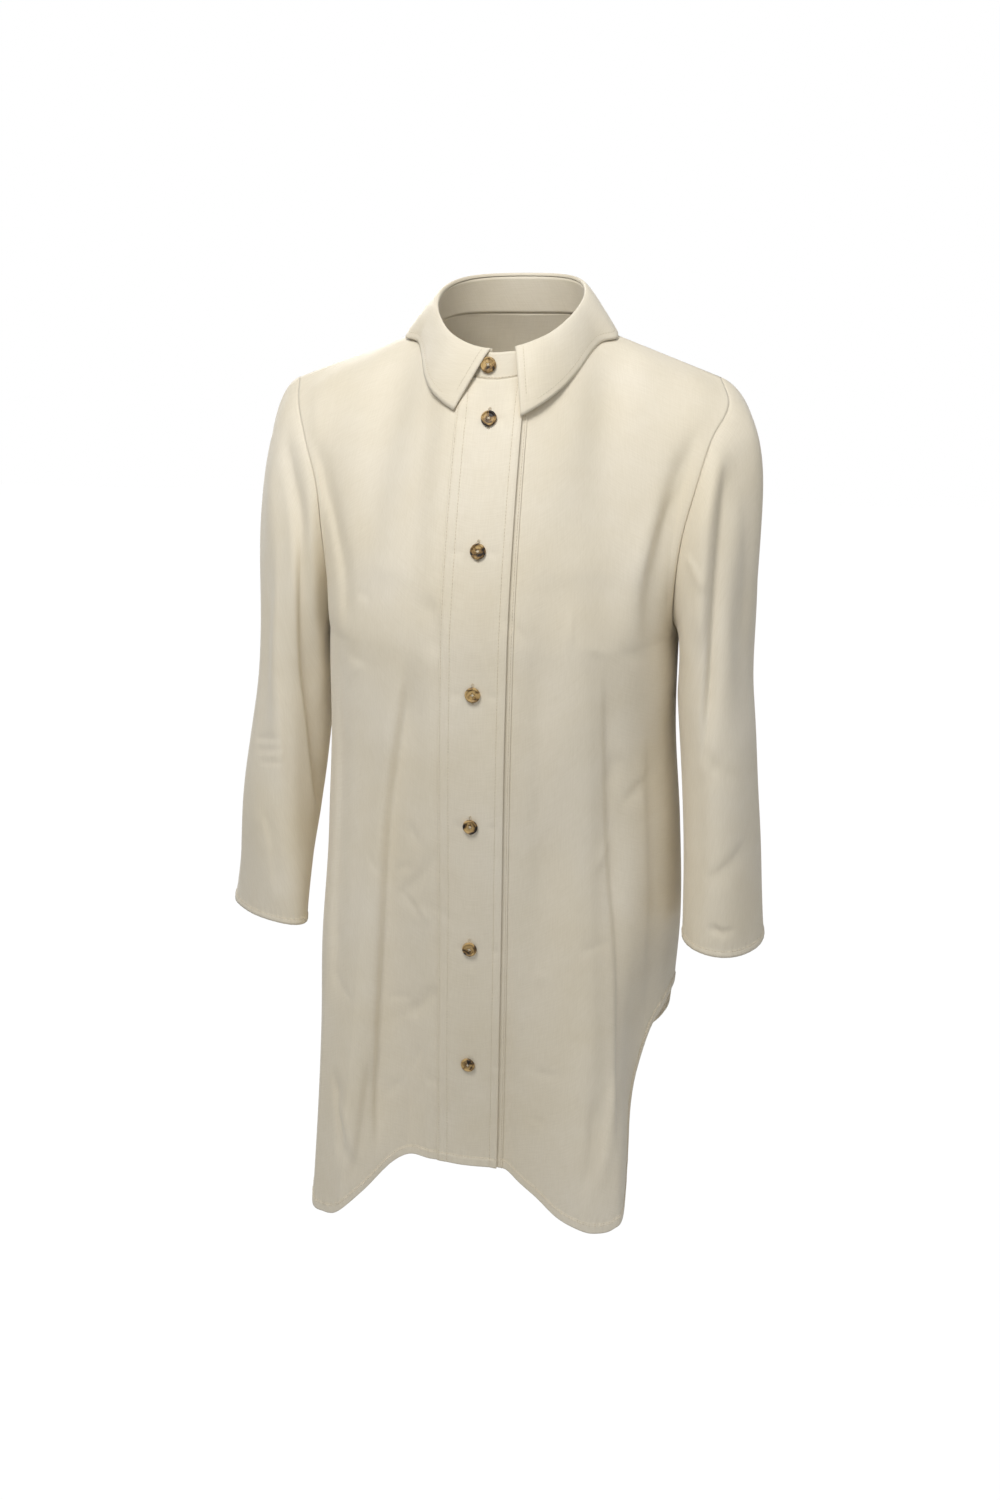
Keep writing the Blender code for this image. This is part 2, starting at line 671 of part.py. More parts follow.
def sleeve_piece(name, side):
    """A sleeve: a cap from the armhole to the upper arm, then sections down to the cuff."""
    along = np.linspace(0.0, 1.0, UPPER_STEPS + 1)
    around = np.concatenate([math.pi * along, 2 * math.pi - math.pi * along[::-1][1:-1]])
    start = np.concatenate([armhole_point(side, along, False),
                            armhole_point(side, along[::-1][1:-1], True)])
    arm = SLEEVE_LEFT if side > 0 else SLEEVE_RIGHT
    bicep_z, cuff_z = arm.cell(0, "height"), arm.cell(-1, "height")
    ring = np.full(around.shape, bicep_z)
    end = sleeve_section(side, ring, around)
    slope = (sleeve_section(side, ring - 0.01, around) - end) / 0.01
    top_speed = CAP_SPEED_LEFT if side > 0 else CAP_SPEED_RIGHT
    speed = three_way(around, top_speed, CAP_SPEED_SIDE, CAP_SPEED_UNDER)
    leave = points(side * three_way(around, CAP_OUT_TOP, CAP_OUT_SIDE, CAP_OUT_UNDER),
                   -CAP_FORWARD * np.sin(around),
                   -three_way(around, CAP_DROP_TOP, CAP_DROP_SIDE, CAP_DROP_UNDER))
    arrive = slope * three_way(around, 0.24, 0.16, 0.05)[:, None]
    cap_t = np.linspace(0.0, 1.0, CAP_STEPS + 1)[:, None, None]
    cap = hermite(start, unit(leave) * speed[:, None], end, arrive, cap_t)
    heights = np.linspace(bicep_z, cuff_z, ARM_STEPS + 1)[1:]
    turns, levels = np.meshgrid(around, heights)
    grid = np.concatenate([cap, sleeve_section(side, levels, turns)])
    tube = Cloth(name, grid, wraps=True, flip=side > 0)
    draw = sleeve_folds(side, np.broadcast_to(around, grid.shape[:2]), grid[..., 2])
    clear = ease(np.arange(len(grid)), 0, 2)[:, None]
    grid = grid - tube.normals * (draw * clear)[..., None]
    return Cloth(name, grid, wraps=True, flip=side > 0)


def stand_height(turn):
    """The collar stand's height around the neck."""
    front, side, back = STAND_FRONT_HEIGHT, STAND_SIDE_HEIGHT, STAND_BACK_HEIGHT
    level = (front + back + 2 * side) / 4
    return (level + (front - back) / 2 * np.cos(turn)
            + (front + back - 2 * side) / 4 * np.cos(2 * turn))


def stand_top(base, turn):
    """The top of the stand over a neckline point: up, and leaning in."""
    height = stand_height(turn)
    inward = points(-np.sin(turn), np.cos(turn), np.zeros_like(turn))
    return base + (inward * STAND_LEAN + np.array((0, 0, 1.0))) * height[..., None]


def stand_piece(left_front, back, right_front):
    """The stand, sewn to the neck edges, with its right end lapped over its left one."""
    neck_count = EDGE_STEPS + NECK_STEPS
    left_run = left_front.grid[0, :neck_count]
    corner = SHOULDER_STEPS
    back_run = back.grid[0, corner:-corner]
    right_run = right_front.grid[0, :neck_count][::-1]
    base = np.concatenate([left_run, back_run[1:-1], right_run])
    x, y = base[:, 0] / NECK_HALF_WIDTH, (NECK_CENTRE_Y - base[:, 1]) / NECK_HALF_DEPTH
    turn = np.unwrap(np.arctan2(x, y))
    top = stand_top(base, turn)
    top[-1, 2] -= STAND_TAB_ROUNDING
    middle = base + (top - base) * 0.5
    return Cloth("collar_stand", np.stack([top, middle, base])), turn, top


def leaf_edge(turn):
    """The leaf's outer edge, lying on the fronts, the shoulders and the back."""
    folded = math.pi - np.abs(math.pi - turn)
    side = np.where(turn < math.pi, 1.0, -1.0)
    edge = np.zeros(turn.shape + (3,))
    lift = LEAF_LIFT + (LEAF_TIP_LIFT - LEAF_LIFT) * ease(-folded, -0.9, -0.35)
    for sign in (1.0, -1.0):
        front = LEAF_FRONT_LEFT if sign > 0 else LEAF_FRONT_RIGHT
        for back, reach in ((False, front), (True, LEAF_BACK)):
            first = LEAF_END_LEFT if sign > 0 else LEAF_END_RIGHT
            start, end = (SHOULDER_TURN, math.pi) if back else (first, SHOULDER_TURN)
            along = np.round((folded - start) / (end - start), 9)
            pick = (side == sign) & (along >= 0.0) & ((along <= 1.0) if back else (along < 1.0))
            at = reach.at(along[pick])
            place = (sign, back, at["station"], at["down"])
            edge[pick] = body_surface(*place) + upward_normal(*place) * lift[pick][:, None]
    return edge


def leaf_piece(stand_turn, stand_edge):
    """The fall of the collar: it rises from the stand, rolls over and lies on the shirt."""
    inside = (stand_turn > LEAF_END_LEFT) & (stand_turn < 2 * math.pi - LEAF_END_RIGHT)
    turn = np.concatenate([[LEAF_END_LEFT], stand_turn[inside], [2 * math.pi - LEAF_END_RIGHT]])
    dense = [turn[0]]
    for before, after in zip(turn[:-1], turn[1:]):
        steps = max(1, int(round((after - before) / math.radians(15))))
        dense += list(before + (after - before) * np.arange(1, steps + 1) / steps)
    turn = np.array(dense)
    top = np.stack([np.interp(turn, stand_turn, stand_edge[:, k]) for k in range(3)], axis=-1)
    out = points(np.sin(turn), -np.cos(turn), np.zeros_like(turn))
    up = np.array((0.0, 0.0, 1.0))
    over_tab = (1.0 - ease(turn, 0.42, 0.75))[:, None] * LAYER_LIFT
    start = top - out * WALL + up * SEAM_GAP
    edge = leaf_edge(turn)
    rise = start + up * (ROLL_RISE + over_tab)
    knee = start + out * (ROLL_OUT + over_tab) + up * ROLL_OVER
    fall = knee + (edge - knee) * 0.20
    t = np.array(LEAF_STEPS)[:, None, None]
    grid = ((1 - t) ** 3 * start + 3 * (1 - t) ** 2 * t * rise
            + 3 * (1 - t) * t ** 2 * fall + t ** 3 * edge)
    leaf = Cloth("collar_leaf", grid)
    leaf.normals[0] = -out
    return leaf


def band_piece(name, front, first, last):
    """A placket: the front's own columns moved out, from the neck to the hem."""
    grid = front.grid[:, first:last + 1] + front.normals[:, first:last + 1] * (
        SEAM_GAP + BAND_WALL)
    step = unit(grid[1] - grid[0])
    grid[0] = grid[0] + step * BAND_TOP_CLEARANCE
    band = Cloth(name, grid, thickness=BAND_WALL)
    band.normals = front.normals[:, first:last + 1]
    return band


def surface_place(band, z):
    """The outer point and normal of the placket on the centre line at a height."""
    columns = np.abs(band.grid[0, :, 0]).argsort()[:2]
    share = np.abs(band.grid[:, columns[1], 0])
    share = share / (share + np.abs(band.grid[:, columns[0], 0]))
    share = share[:, None]
    line = band.grid[:, columns[0]] * share + band.grid[:, columns[1]] * (1 - share)
    normal = band.normals[:, columns[0]] * share + band.normals[:, columns[1]] * (1 - share)
    order = np.argsort(line[:, 2])
    at = [np.interp(z, line[order, 2], line[order, k]) for k in range(3)]
    facing = [np.interp(z, line[order, 2], normal[order, k]) for k in range(3)]
    return Vector(hang_askew(np.array(at))), Vector(facing).normalized()


def stand_place(stand):
    """The outer point and normal of the stand's lapped end where its button sits."""
    tab = slice(-EDGE_STEPS - 1, None)
    low, high = stand.grid[2, tab], stand.grid[0, tab]
    line = low + (high - low) * COLLAR_BUTTON_RISE
    at = [np.interp(COLLAR_BUTTON_X, line[:, 0], line[:, k]) for k in range(3)]
    facing = [np.interp(COLLAR_BUTTON_X, line[:, 0], stand.normals[1, tab, k]) for k in range(3)]
    return Vector(hang_askew(np.array(at))), Vector(facing).normalized()


def button(name, place, facing, material):
    """A turned button with a raised rim and a dished middle."""
    profile = ((0.62, 0.0), (1.0, 0.35), (1.0, 0.70))
    ring = [(BUTTON_RADIUS * r, BUTTON_THICKNESS * h) for r, h in profile]
    ring += [(BUTTON_RADIUS - BUTTON_RIM * 0.45, BUTTON_THICKNESS),
             (BUTTON_RADIUS - BUTTON_RIM, BUTTON_THICKNESS - BUTTON_DISH)]
    shape = bmesh.new()
    rows = []
    for radius, height in ring:
        row = []
        for step in range(BUTTON_SIDES):
            angle = 2 * math.pi * step / BUTTON_SIDES
            corner = (radius * math.cos(angle), radius * math.sin(angle), height)
            row.append(shape.verts.new(corner))
        rows.append(row)
    for lower, upper in zip(rows[:-1], rows[1:]):
        for step in range(BUTTON_SIDES):
            after = (step + 1) % BUTTON_SIDES
            shape.faces.new((lower[step], lower[after], upper[after], upper[step]))
    shape.faces.new(rows[0][::-1])
    shape.faces.new(rows[-1])
    mesh = bpy.data.meshes.new(name)
    shape.to_mesh(mesh)
    shape.free()
    mesh.shade_smooth()
    mesh.set_sharp_from_angle(angle=math.radians(40))
    mesh.materials.append(material)
    item = bpy.data.objects.new(name, mesh)
    item.rotation_mode = "QUATERNION"
    item.rotation_quaternion = facing.to_track_quat("Z", "Y")
    item.location = place + facing * SEAM_GAP
    bpy.context.scene.collection.objects.link(item)
    return item


# ---------------------------------------------------------------------------- the shirt


def clear_scene():
    """Remove whatever the scene holds."""
    for item in list(bpy.data.objects):
        bpy.data.objects.remove(item, do_unlink=True)


def build_shirt():
    """Every piece of the shirt."""
    clear_scene()
    cream = make_material("cream_crepe", CREAM, 0.62)
    horn = make_material("horn", HORN, 0.30)
    left = front_piece("front_left", 1.0,
                       front_stations(UNDER_EDGE_BEYOND, UNDER_BAND_EDGE), 0.0)
    right = front_piece("front_right", -1.0,
                        front_stations(EDGE_BEYOND_CENTRE, PLACKET_INNER_EDGE), LAYER_LIFT)
    back = back_piece()
    stand, stand_turn, stand_edge = stand_piece(left, back, right)
    sewn = [left, right, back, stand,
            sleeve_piece("sleeve_left", 1.0), sleeve_piece("sleeve_right", -1.0)]
    walls = sew(sewn)
    for piece in sewn:
        wall_object(piece.name, *walls[piece.name], piece.wraps, cream)
    top_band = band_piece("placket_top", right, 0, EDGE_STEPS)
    under_band = band_piece("placket_under", left, 0, EDGE_STEPS)
    leaf = leaf_piece(stand_turn, stand_edge)
    for piece in (top_band, under_band, leaf):
        inner = piece.grid - piece.normals * piece.thickness
        wall_object(piece.name, piece.grid, inner, piece.wraps, cream)
    heights = [TOP_BUTTON_Z] + [SECOND_BUTTON_Z - BUTTON_SPACING * k
                                for k in range(BUTTON_COUNT - 1)]
    for number, z in enumerate(heights, start=1):
        place, facing = surface_place(top_band, z)
        button(f"button_{number}", place, facing, horn)
    place, facing = stand_place(stand)
    button("button_collar", place, facing, horn)


build_shirt()
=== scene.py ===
"""The looks of a cream crepe button-up shirt, worn and hollow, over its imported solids.

Each cloth piece is a fine thin shell on its solid's own form: the same curves, read on a closer
grid, with the folds, the seams, the turned hems and the stitches that a sewn shirt has. Lengths
are in metres; the front faces -Y, +X is the wearer's left and the origin is the neck's base.
"""

from __future__ import annotations

import json
import logging
import math
from dataclasses import dataclass, field, replace
from enum import Enum

import bpy
import numpy as np
from mathutils import Matrix, Vector
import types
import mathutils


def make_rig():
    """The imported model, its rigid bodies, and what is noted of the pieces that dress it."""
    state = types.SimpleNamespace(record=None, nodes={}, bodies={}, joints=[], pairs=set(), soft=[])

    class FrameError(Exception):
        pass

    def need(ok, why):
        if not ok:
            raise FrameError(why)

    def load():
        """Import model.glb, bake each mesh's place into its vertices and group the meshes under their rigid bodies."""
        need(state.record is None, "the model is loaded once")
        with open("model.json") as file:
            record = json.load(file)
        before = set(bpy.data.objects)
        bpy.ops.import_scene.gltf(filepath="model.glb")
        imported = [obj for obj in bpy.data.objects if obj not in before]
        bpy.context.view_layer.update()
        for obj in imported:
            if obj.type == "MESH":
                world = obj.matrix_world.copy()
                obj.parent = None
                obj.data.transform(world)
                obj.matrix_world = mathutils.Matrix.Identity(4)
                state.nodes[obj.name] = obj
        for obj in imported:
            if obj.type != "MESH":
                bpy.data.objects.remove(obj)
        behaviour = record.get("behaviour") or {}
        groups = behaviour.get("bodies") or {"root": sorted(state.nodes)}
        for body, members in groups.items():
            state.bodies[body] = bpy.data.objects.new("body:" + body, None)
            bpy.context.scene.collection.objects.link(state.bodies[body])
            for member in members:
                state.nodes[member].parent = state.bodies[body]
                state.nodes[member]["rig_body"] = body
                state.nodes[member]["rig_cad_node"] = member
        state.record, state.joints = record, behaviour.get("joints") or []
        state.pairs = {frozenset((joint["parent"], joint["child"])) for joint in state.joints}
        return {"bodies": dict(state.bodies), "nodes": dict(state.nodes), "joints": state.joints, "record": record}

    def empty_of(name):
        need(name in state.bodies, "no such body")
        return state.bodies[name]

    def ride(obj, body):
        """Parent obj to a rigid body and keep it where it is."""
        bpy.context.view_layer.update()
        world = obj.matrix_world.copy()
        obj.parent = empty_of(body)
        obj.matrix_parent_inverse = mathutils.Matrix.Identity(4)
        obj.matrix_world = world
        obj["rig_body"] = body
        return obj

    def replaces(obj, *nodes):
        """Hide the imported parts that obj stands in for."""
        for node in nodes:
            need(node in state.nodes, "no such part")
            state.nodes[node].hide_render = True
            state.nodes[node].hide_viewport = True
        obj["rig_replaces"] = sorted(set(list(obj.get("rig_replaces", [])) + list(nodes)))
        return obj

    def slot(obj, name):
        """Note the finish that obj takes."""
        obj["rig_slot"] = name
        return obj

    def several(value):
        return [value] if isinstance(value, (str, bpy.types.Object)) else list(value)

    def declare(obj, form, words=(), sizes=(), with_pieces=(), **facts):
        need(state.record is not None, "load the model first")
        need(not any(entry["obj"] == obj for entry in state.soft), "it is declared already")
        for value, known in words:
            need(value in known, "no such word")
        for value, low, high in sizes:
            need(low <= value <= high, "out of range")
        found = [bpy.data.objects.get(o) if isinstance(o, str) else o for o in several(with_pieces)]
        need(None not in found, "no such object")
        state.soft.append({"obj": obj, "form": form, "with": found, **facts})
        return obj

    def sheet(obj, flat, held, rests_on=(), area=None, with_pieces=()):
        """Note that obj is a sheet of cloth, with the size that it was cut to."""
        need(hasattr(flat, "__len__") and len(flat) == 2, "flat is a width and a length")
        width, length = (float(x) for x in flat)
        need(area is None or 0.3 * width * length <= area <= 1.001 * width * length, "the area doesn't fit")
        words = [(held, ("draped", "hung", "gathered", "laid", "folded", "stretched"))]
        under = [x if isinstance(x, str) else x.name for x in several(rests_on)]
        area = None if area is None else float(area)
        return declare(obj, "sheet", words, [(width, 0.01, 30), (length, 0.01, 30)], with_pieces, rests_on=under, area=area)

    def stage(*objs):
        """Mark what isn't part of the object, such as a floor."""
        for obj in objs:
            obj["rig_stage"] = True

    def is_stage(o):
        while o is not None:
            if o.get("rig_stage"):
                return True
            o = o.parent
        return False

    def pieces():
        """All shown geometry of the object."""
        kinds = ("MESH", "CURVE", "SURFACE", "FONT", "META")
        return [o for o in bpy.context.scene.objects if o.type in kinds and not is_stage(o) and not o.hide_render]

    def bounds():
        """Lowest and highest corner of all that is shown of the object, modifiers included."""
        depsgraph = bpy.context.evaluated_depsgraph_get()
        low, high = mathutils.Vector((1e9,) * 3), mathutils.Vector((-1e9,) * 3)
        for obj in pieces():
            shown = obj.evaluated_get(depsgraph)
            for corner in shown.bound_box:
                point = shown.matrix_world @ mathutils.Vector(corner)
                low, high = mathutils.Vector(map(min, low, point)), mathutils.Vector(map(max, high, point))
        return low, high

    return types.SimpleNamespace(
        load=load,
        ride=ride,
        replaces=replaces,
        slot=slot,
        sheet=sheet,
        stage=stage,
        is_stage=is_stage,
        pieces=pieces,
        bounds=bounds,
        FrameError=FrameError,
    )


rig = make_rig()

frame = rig.load()
CAD_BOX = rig.bounds()

LOG = logging.getLogger("shirt")
Array = np.ndarray
Mesh = tuple[Array, Array]
Rows = tuple[tuple[float, ...], ...]
Triple = tuple[float, float, float]
Socket = bpy.types.NodeSocket

UP = np.array((0.0, 0.0, 1.0))
WHITE = (1.0, 1.0, 1.0, 1.0)
ARMHOLE_ALONG = (0.00, 0.1, 0.25, 0.42, 0.58, 0.74, 0.88, 1.00)
FALL_COLUMNS = ("station", "outward", "away", "down")
LEAF_COLUMNS = ("along", "station", "down")
LEAF_FRONT: Rows = (
    (0.5, 0.79, 0.129),
    (0.72, 1.04, 0.099),
    (0.88, 1.18, 0.056),
    (1.00, 1.2, 0.000),
)
BUTTON_HEIGHTS = (-0.066, -0.165, -0.278, -0.391, -0.504, -0.617)


class Side(Enum):
    """The wearer's two sides, by the sign of X."""

    LEFT = 1.0
    RIGHT = -1.0


class Half(Enum):
    """The two halves of the body."""

    FRONT = "front"
    BACK = "back"


class Edge(Enum):
    """The border of a grid that a distance is measured from."""

    TOP = "top"
    BOTTOM = "bottom"
    FIRST = "first"
    LAST = "last"

    @property
    def axis(self) -> int:
        """The grid's axis that leads away from the edge: 0 down a column, 1 along a row."""
        return 0 if self in (Edge.TOP, Edge.BOTTOM) else 1

    @property
    def closes(self) -> bool:
        """Whether the edge lies where that axis ends."""
        return self in (Edge.BOTTOM, Edge.LAST)


StitchRows = tuple[tuple[Edge, float], ...]


# ---- curves


def ease(value: Array | float, start: float, end: float) -> Array:
    """A smooth step: 3t^2 - 2t^3 of t, the share of the way from start to end, within 0 and 1."""
    t = np.clip((np.asarray(value, float) - start) / (end - start), 0.0, 1.0)
    return t * t * (3.0 - 2.0 * t)


def hump(distance: Array | float, width: float) -> Array:
    """A bell: e to the power of -(distance / width)^2."""
    return np.exp(-(np.asarray(distance, float) / width) ** 2)


def hermite(start: Array, leave: Array, end: Array, arrive: Array, t: Array) -> Array:
    """The cubic from start to end at t, whose speeds there are leave and arrive."""
    t2, t3 = t * t, t * t * t
    return (start * (2 * t3 - 3 * t2 + 1) + leave * (t3 - 2 * t2 + t)
            + end * (3 * t2 - 2 * t3) + arrive * (t3 - t2))


def points(x: Array, y: Array, z: Array) -> Array:
    """Three arrays of coordinates as one array of points."""
    return np.stack(np.broadcast_arrays(x, y, z), axis=-1).astype(float)


def unit(vectors: Array) -> Array:
    """The vectors at length one."""
    length = np.linalg.norm(vectors, axis=-1, keepdims=True)
    return vectors / np.maximum(length, 1e-12)


def signed_power(value: Array, power: float) -> Array:
    """The value's size raised to the power, with the value's sign."""
    return np.sign(value) * np.abs(value) ** power


def by_turn(turn: Array, first: float, quarter: float, half: float) -> Array:
    """A value given at turn 0, a quarter and a half: a mean and cosines of turn and its double."""
    return ((first + half + 2 * quarter) / 4 + (first - half) / 2 * np.cos(turn)
            + (first + half - 2 * quarter) / 4 * np.cos(2 * turn))


def interpolate(at: Array | float, run: Array, values: Array) -> Array:
    """Rows of values read in straight steps along a growing run of lengths."""
    return np.stack([np.interp(at, run, values[:, k]) for k in range(values.shape[1])], axis=-1)


@dataclass(frozen=True)
class Table:
    """Rows of sizes under named columns, read as a smooth curve along the first column."""

    columns: tuple[str, ...]
    rows: Rows

    def cell(self, row: int, column: str) -> float:
        """One size, by its row's number and its column's name."""
        return float(self.rows[row][self.columns.index(column)])

    def each(self) -> list[dict[str, float]]:
        """Every row as a dictionary from column name to size."""
        return [dict(zip(self.columns, row)) for row in self.rows]

    def at(self, value: Array | float) -> dict[str, Array]:
        """Every column after the first: a cubic from row to row, with the rows' own slopes.

        Args:
            value: Where the first column is read.

        Returns:
            The other columns there, by name.
        """
        rows = np.array(self.rows, float)
        rows = rows if rows[0, 0] < rows[-1, 0] else rows[::-1]
        knots, sizes = rows[:, 0], rows[:, 1:]
        slopes = np.gradient(sizes, knots, axis=0)
        value = np.clip(np.asarray(value, float), knots[0], knots[-1])
        i = np.clip(np.searchsorted(knots, value, side="right") - 1, 0, len(knots) - 2)
        width = (knots[i + 1] - knots[i])[..., None]
        t = (value - knots[i])[..., None] / width
        found = hermite(sizes[i], slopes[i] * width, sizes[i + 1], slopes[i + 1] * width, t)
        return dict(zip(self.columns[1:], np.moveaxis(found, -1, 0)))


# ---- grids of cloth


@dataclass
class Grid:
    """A sheet of points in rows and columns, with what is measured on it.

    Attributes:
        place: The points, rows by columns by three.
        wraps: Whether the last column joins the first.
        flip: Whether rows crossed with columns point inwards.
    """

    place: Array
    wraps: bool = False
    flip: bool = False

    def normals(self) -> Array:
        """Outward normals: the step down a column crossed with the step along a row."""
        down = np.gradient(self.place, axis=0)
        if self.wraps:
            across = np.roll(self.place, -1, axis=1) - np.roll(self.place, 1, axis=1)
        else:
            across = np.gradient(self.place, axis=1)
        return unit(np.cross(down, across)) * (-1.0 if self.flip else 1.0)

    def raised(self, height: Array | float) -> Grid:
        """The grid moved out along its normals by a height at each point."""
        height = np.broadcast_to(np.asarray(height, float), self.place.shape[:2])
        return Grid(self.place + self.normals() * height[..., None], self.wraps, self.flip)

    def distance(self, edge: Edge) -> Array:
        """How far each point lies from an edge: the sum of the steps along its row or column.

        Args:
            edge: The border that the distance starts from.

        Returns:
            The distances, in the grid's own rows and columns.
        """
        axis = edge.axis
        steps = np.linalg.norm(np.diff(self.place, axis=axis), axis=-1)
        start = np.zeros_like(np.take(steps, [0], axis=axis))
        run = np.concatenate([start, np.cumsum(steps, axis=axis)], axis=axis)
        if edge.closes:
            run = np.take(run, [-1], axis=axis) - run
        return run

    def read(self, row: Array, column: Array, values: Array) -> Array:
        """Values between the grid's points: the mean of four neighbours by nearness.

        Args:
            row: Fractional row numbers.
            column: Fractional column numbers.
            values: One vector for each point of the grid.

        Returns:
            The vectors at those places.
        """
        rows, columns = values.shape[:2]
        i = np.clip(np.floor(row).astype(int), 0, rows - 2)
        j = np.clip(np.floor(column).astype(int), 0, columns - 2)
        s, t = (row - i)[..., None], (column - j)[..., None]
        upper = values[i, j] * (1 - t) + values[i, j + 1] * t
        lower = values[i + 1, j] * (1 - t) + values[i + 1, j + 1] * t
        return upper * (1 - s) + lower * s

    def inset(self, edge: Edge, width: float) -> Array:
        """The fractional row or column that lies at a width from an edge, along that edge.

        Args:
            edge: The border that is followed.
            width: The distance from it.

        Returns:
            One fractional row for each column, or column for each row.
        """
        run = self.distance(edge)
        run = run.T if edge.axis == 0 else run
        run = run[:, ::-1] if edge.closes else run
        after = np.argmax(run > width, axis=1)
        before = np.maximum(after - 1, 0)
        line = np.arange(len(run))
        gap = np.maximum(run[line, after] - run[line, before], 1e-12)
        at = before + (width - run[line, before]) / gap
        return run.shape[1] - 1 - at if edge.closes else at

    def spot(self, row: Array, column: Array, axis: int, value: float) -> tuple[Vector, Vector]:
        """The point and the outward normal where a line over the grid passes a coordinate.

        Args:
            row: The line's fractional row numbers.
            column: Its fractional column numbers.
            axis: The coordinate that is looked up, 0 for X and 2 for Z.
            value: What it is there.

        Returns:
            The point, and the normal at length one.
        """
        line = self.read(row, column, self.place)
        order = np.argsort(line[:, axis])
        at, facing = (Vector(interpolate(value, line[order, axis], values[order]))
                      for values in (line, self.read(row, column, self.normals())))
        return at, facing.normalized()

    def closed(self) -> Array:
        """The points, with the first column again after the last where they join."""
        again = self.place[:, :1] if self.wraps else self.place[:, :0]
        return np.concatenate([self.place, again], axis=1)

    def area(self) -> float:
        """The sheet's area: half the crossed diagonals of its cells."""
        place = self.closed()
        first = place[1:, 1:] - place[:-1, :-1]
        second = place[1:, :-1] - place[:-1, 1:]
        return float(np.linalg.norm(np.cross(first, second), axis=-1).sum() / 2)

    def cut(self) -> dict[str, tuple[float, float] | float]:
        """The flat size: its longest row and its longest column, and the sheet's own area."""
        place = self.closed()
        width, length = (float(np.linalg.norm(np.diff(place, axis=axis), axis=-1)
                               .sum(axis=axis).max()) for axis in (1, 0))
        return {"flat": (width, length), "area": min(self.area(), width * length)}


@dataclass(frozen=True)
class Crease:
    """A fold pressed into cloth along a line in a sheet's own two coordinates.

    Attributes:
        line: Points that the fold runs through, in those coordinates.
        depth: How deep the trough is, or with a minus how high the ridge.
        near: Its width on the side to the right of its way.
        far: Its width on the other side.
        fade: The share of its length over which each end dies out.
    """

    line: Rows
    depth: float
    near: float
    far: float
    fade: float = 0.3
    straight_points: int = 9
    steps: int = 6

    def smooth_line(self) -> Array:
        """The line through its points as a chain of short steps, cubic between the points."""
        knots = np.array(self.line, float)
        if len(knots) < 3:
            return np.linspace(knots[0], knots[-1], self.straight_points)
        at = np.arange(len(knots), dtype=float)
        columns = tuple(str(k) for k in range(knots.shape[1] + 1))
        table = Table(columns, tuple(map(tuple, np.column_stack([at, knots]))))
        read = table.at(np.linspace(0.0, at[-1], self.steps * (len(knots) - 1) + 1))
        return np.stack(list(read.values()), axis=-1)

    def push(self, u: Array, v: Array) -> Array:
        """How far the fold moves each point: a bell across its line, dying out at its ends.

        Args:
            u: The first coordinate of each point.
            v: The second.

        Returns:
            The moves along the normals, minus being inwards.
        """
        line = self.smooth_line()
        steps = np.diff(line, axis=0)
        lengths = np.linalg.norm(steps, axis=1)
        before = np.concatenate([[0.0], np.cumsum(lengths)])
        nearest = np.full(u.shape, np.inf)
        across = np.zeros(u.shape)
        along = np.zeros(u.shape)
        for start, step, length, run in zip(line[:-1], steps, lengths, before):
            way = step / length
            du, dv = u - start[0], v - start[1]
            ahead = np.clip(du * way[0] + dv * way[1], 0.0, length)
            off = np.hypot(du - ahead * way[0], dv - ahead * way[1])
            closer = off < nearest
            side = np.sign(du * way[1] - dv * way[0])
            nearest = np.where(closer, off, nearest)
            across = np.where(closer, off * side, across)
            along = np.where(closer, (run + ahead) / before[-1], along)
        width = np.where(across > 0, self.near, self.far)
        ends = ease(along, 0.0, self.fade) * ease(1.0 - along, 0.0, self.fade)
        return -self.depth * np.exp(-(across / width) ** 2) * ends


@dataclass(frozen=True)
class Ripple:
    """Small uneven waves in cloth, made of a few long sine waves in two coordinates."""

    height: float
    length: float
    seed: int
    waves: int = 7
    lengths: tuple[float, float] = (0.6, 1.7)
    across: float = 1.8
    along: float = 0.5

    def push(self, u: Array, v: Array) -> Array:
        """The waves' height: the mean of sines with their own ways, lengths and starts."""
        source = np.random.default_rng(self.seed)
        total = np.zeros(np.broadcast(u, v).shape)
        for _ in range(self.waves):
            way, start = source.uniform(0, 2 * math.pi, 2)
            length = self.length * source.uniform(*self.lengths)
            total = total + np.sin(2 * math.pi / length * (u * math.cos(way) * self.across
                                                           + v * math.sin(way) * self.along)
                                   + start)
        return self.height * total / self.waves


# ---- the body's form


def armhole(x: tuple[float, ...], y: tuple[float, ...], z: tuple[float, ...]) -> Table:
    """An armhole's curve by its X, Y and Z at ARMHOLE_ALONG from the shoulder."""
    return Table(("along", "x", "y", "z"), tuple(zip(ARMHOLE_ALONG, x, y, z)))


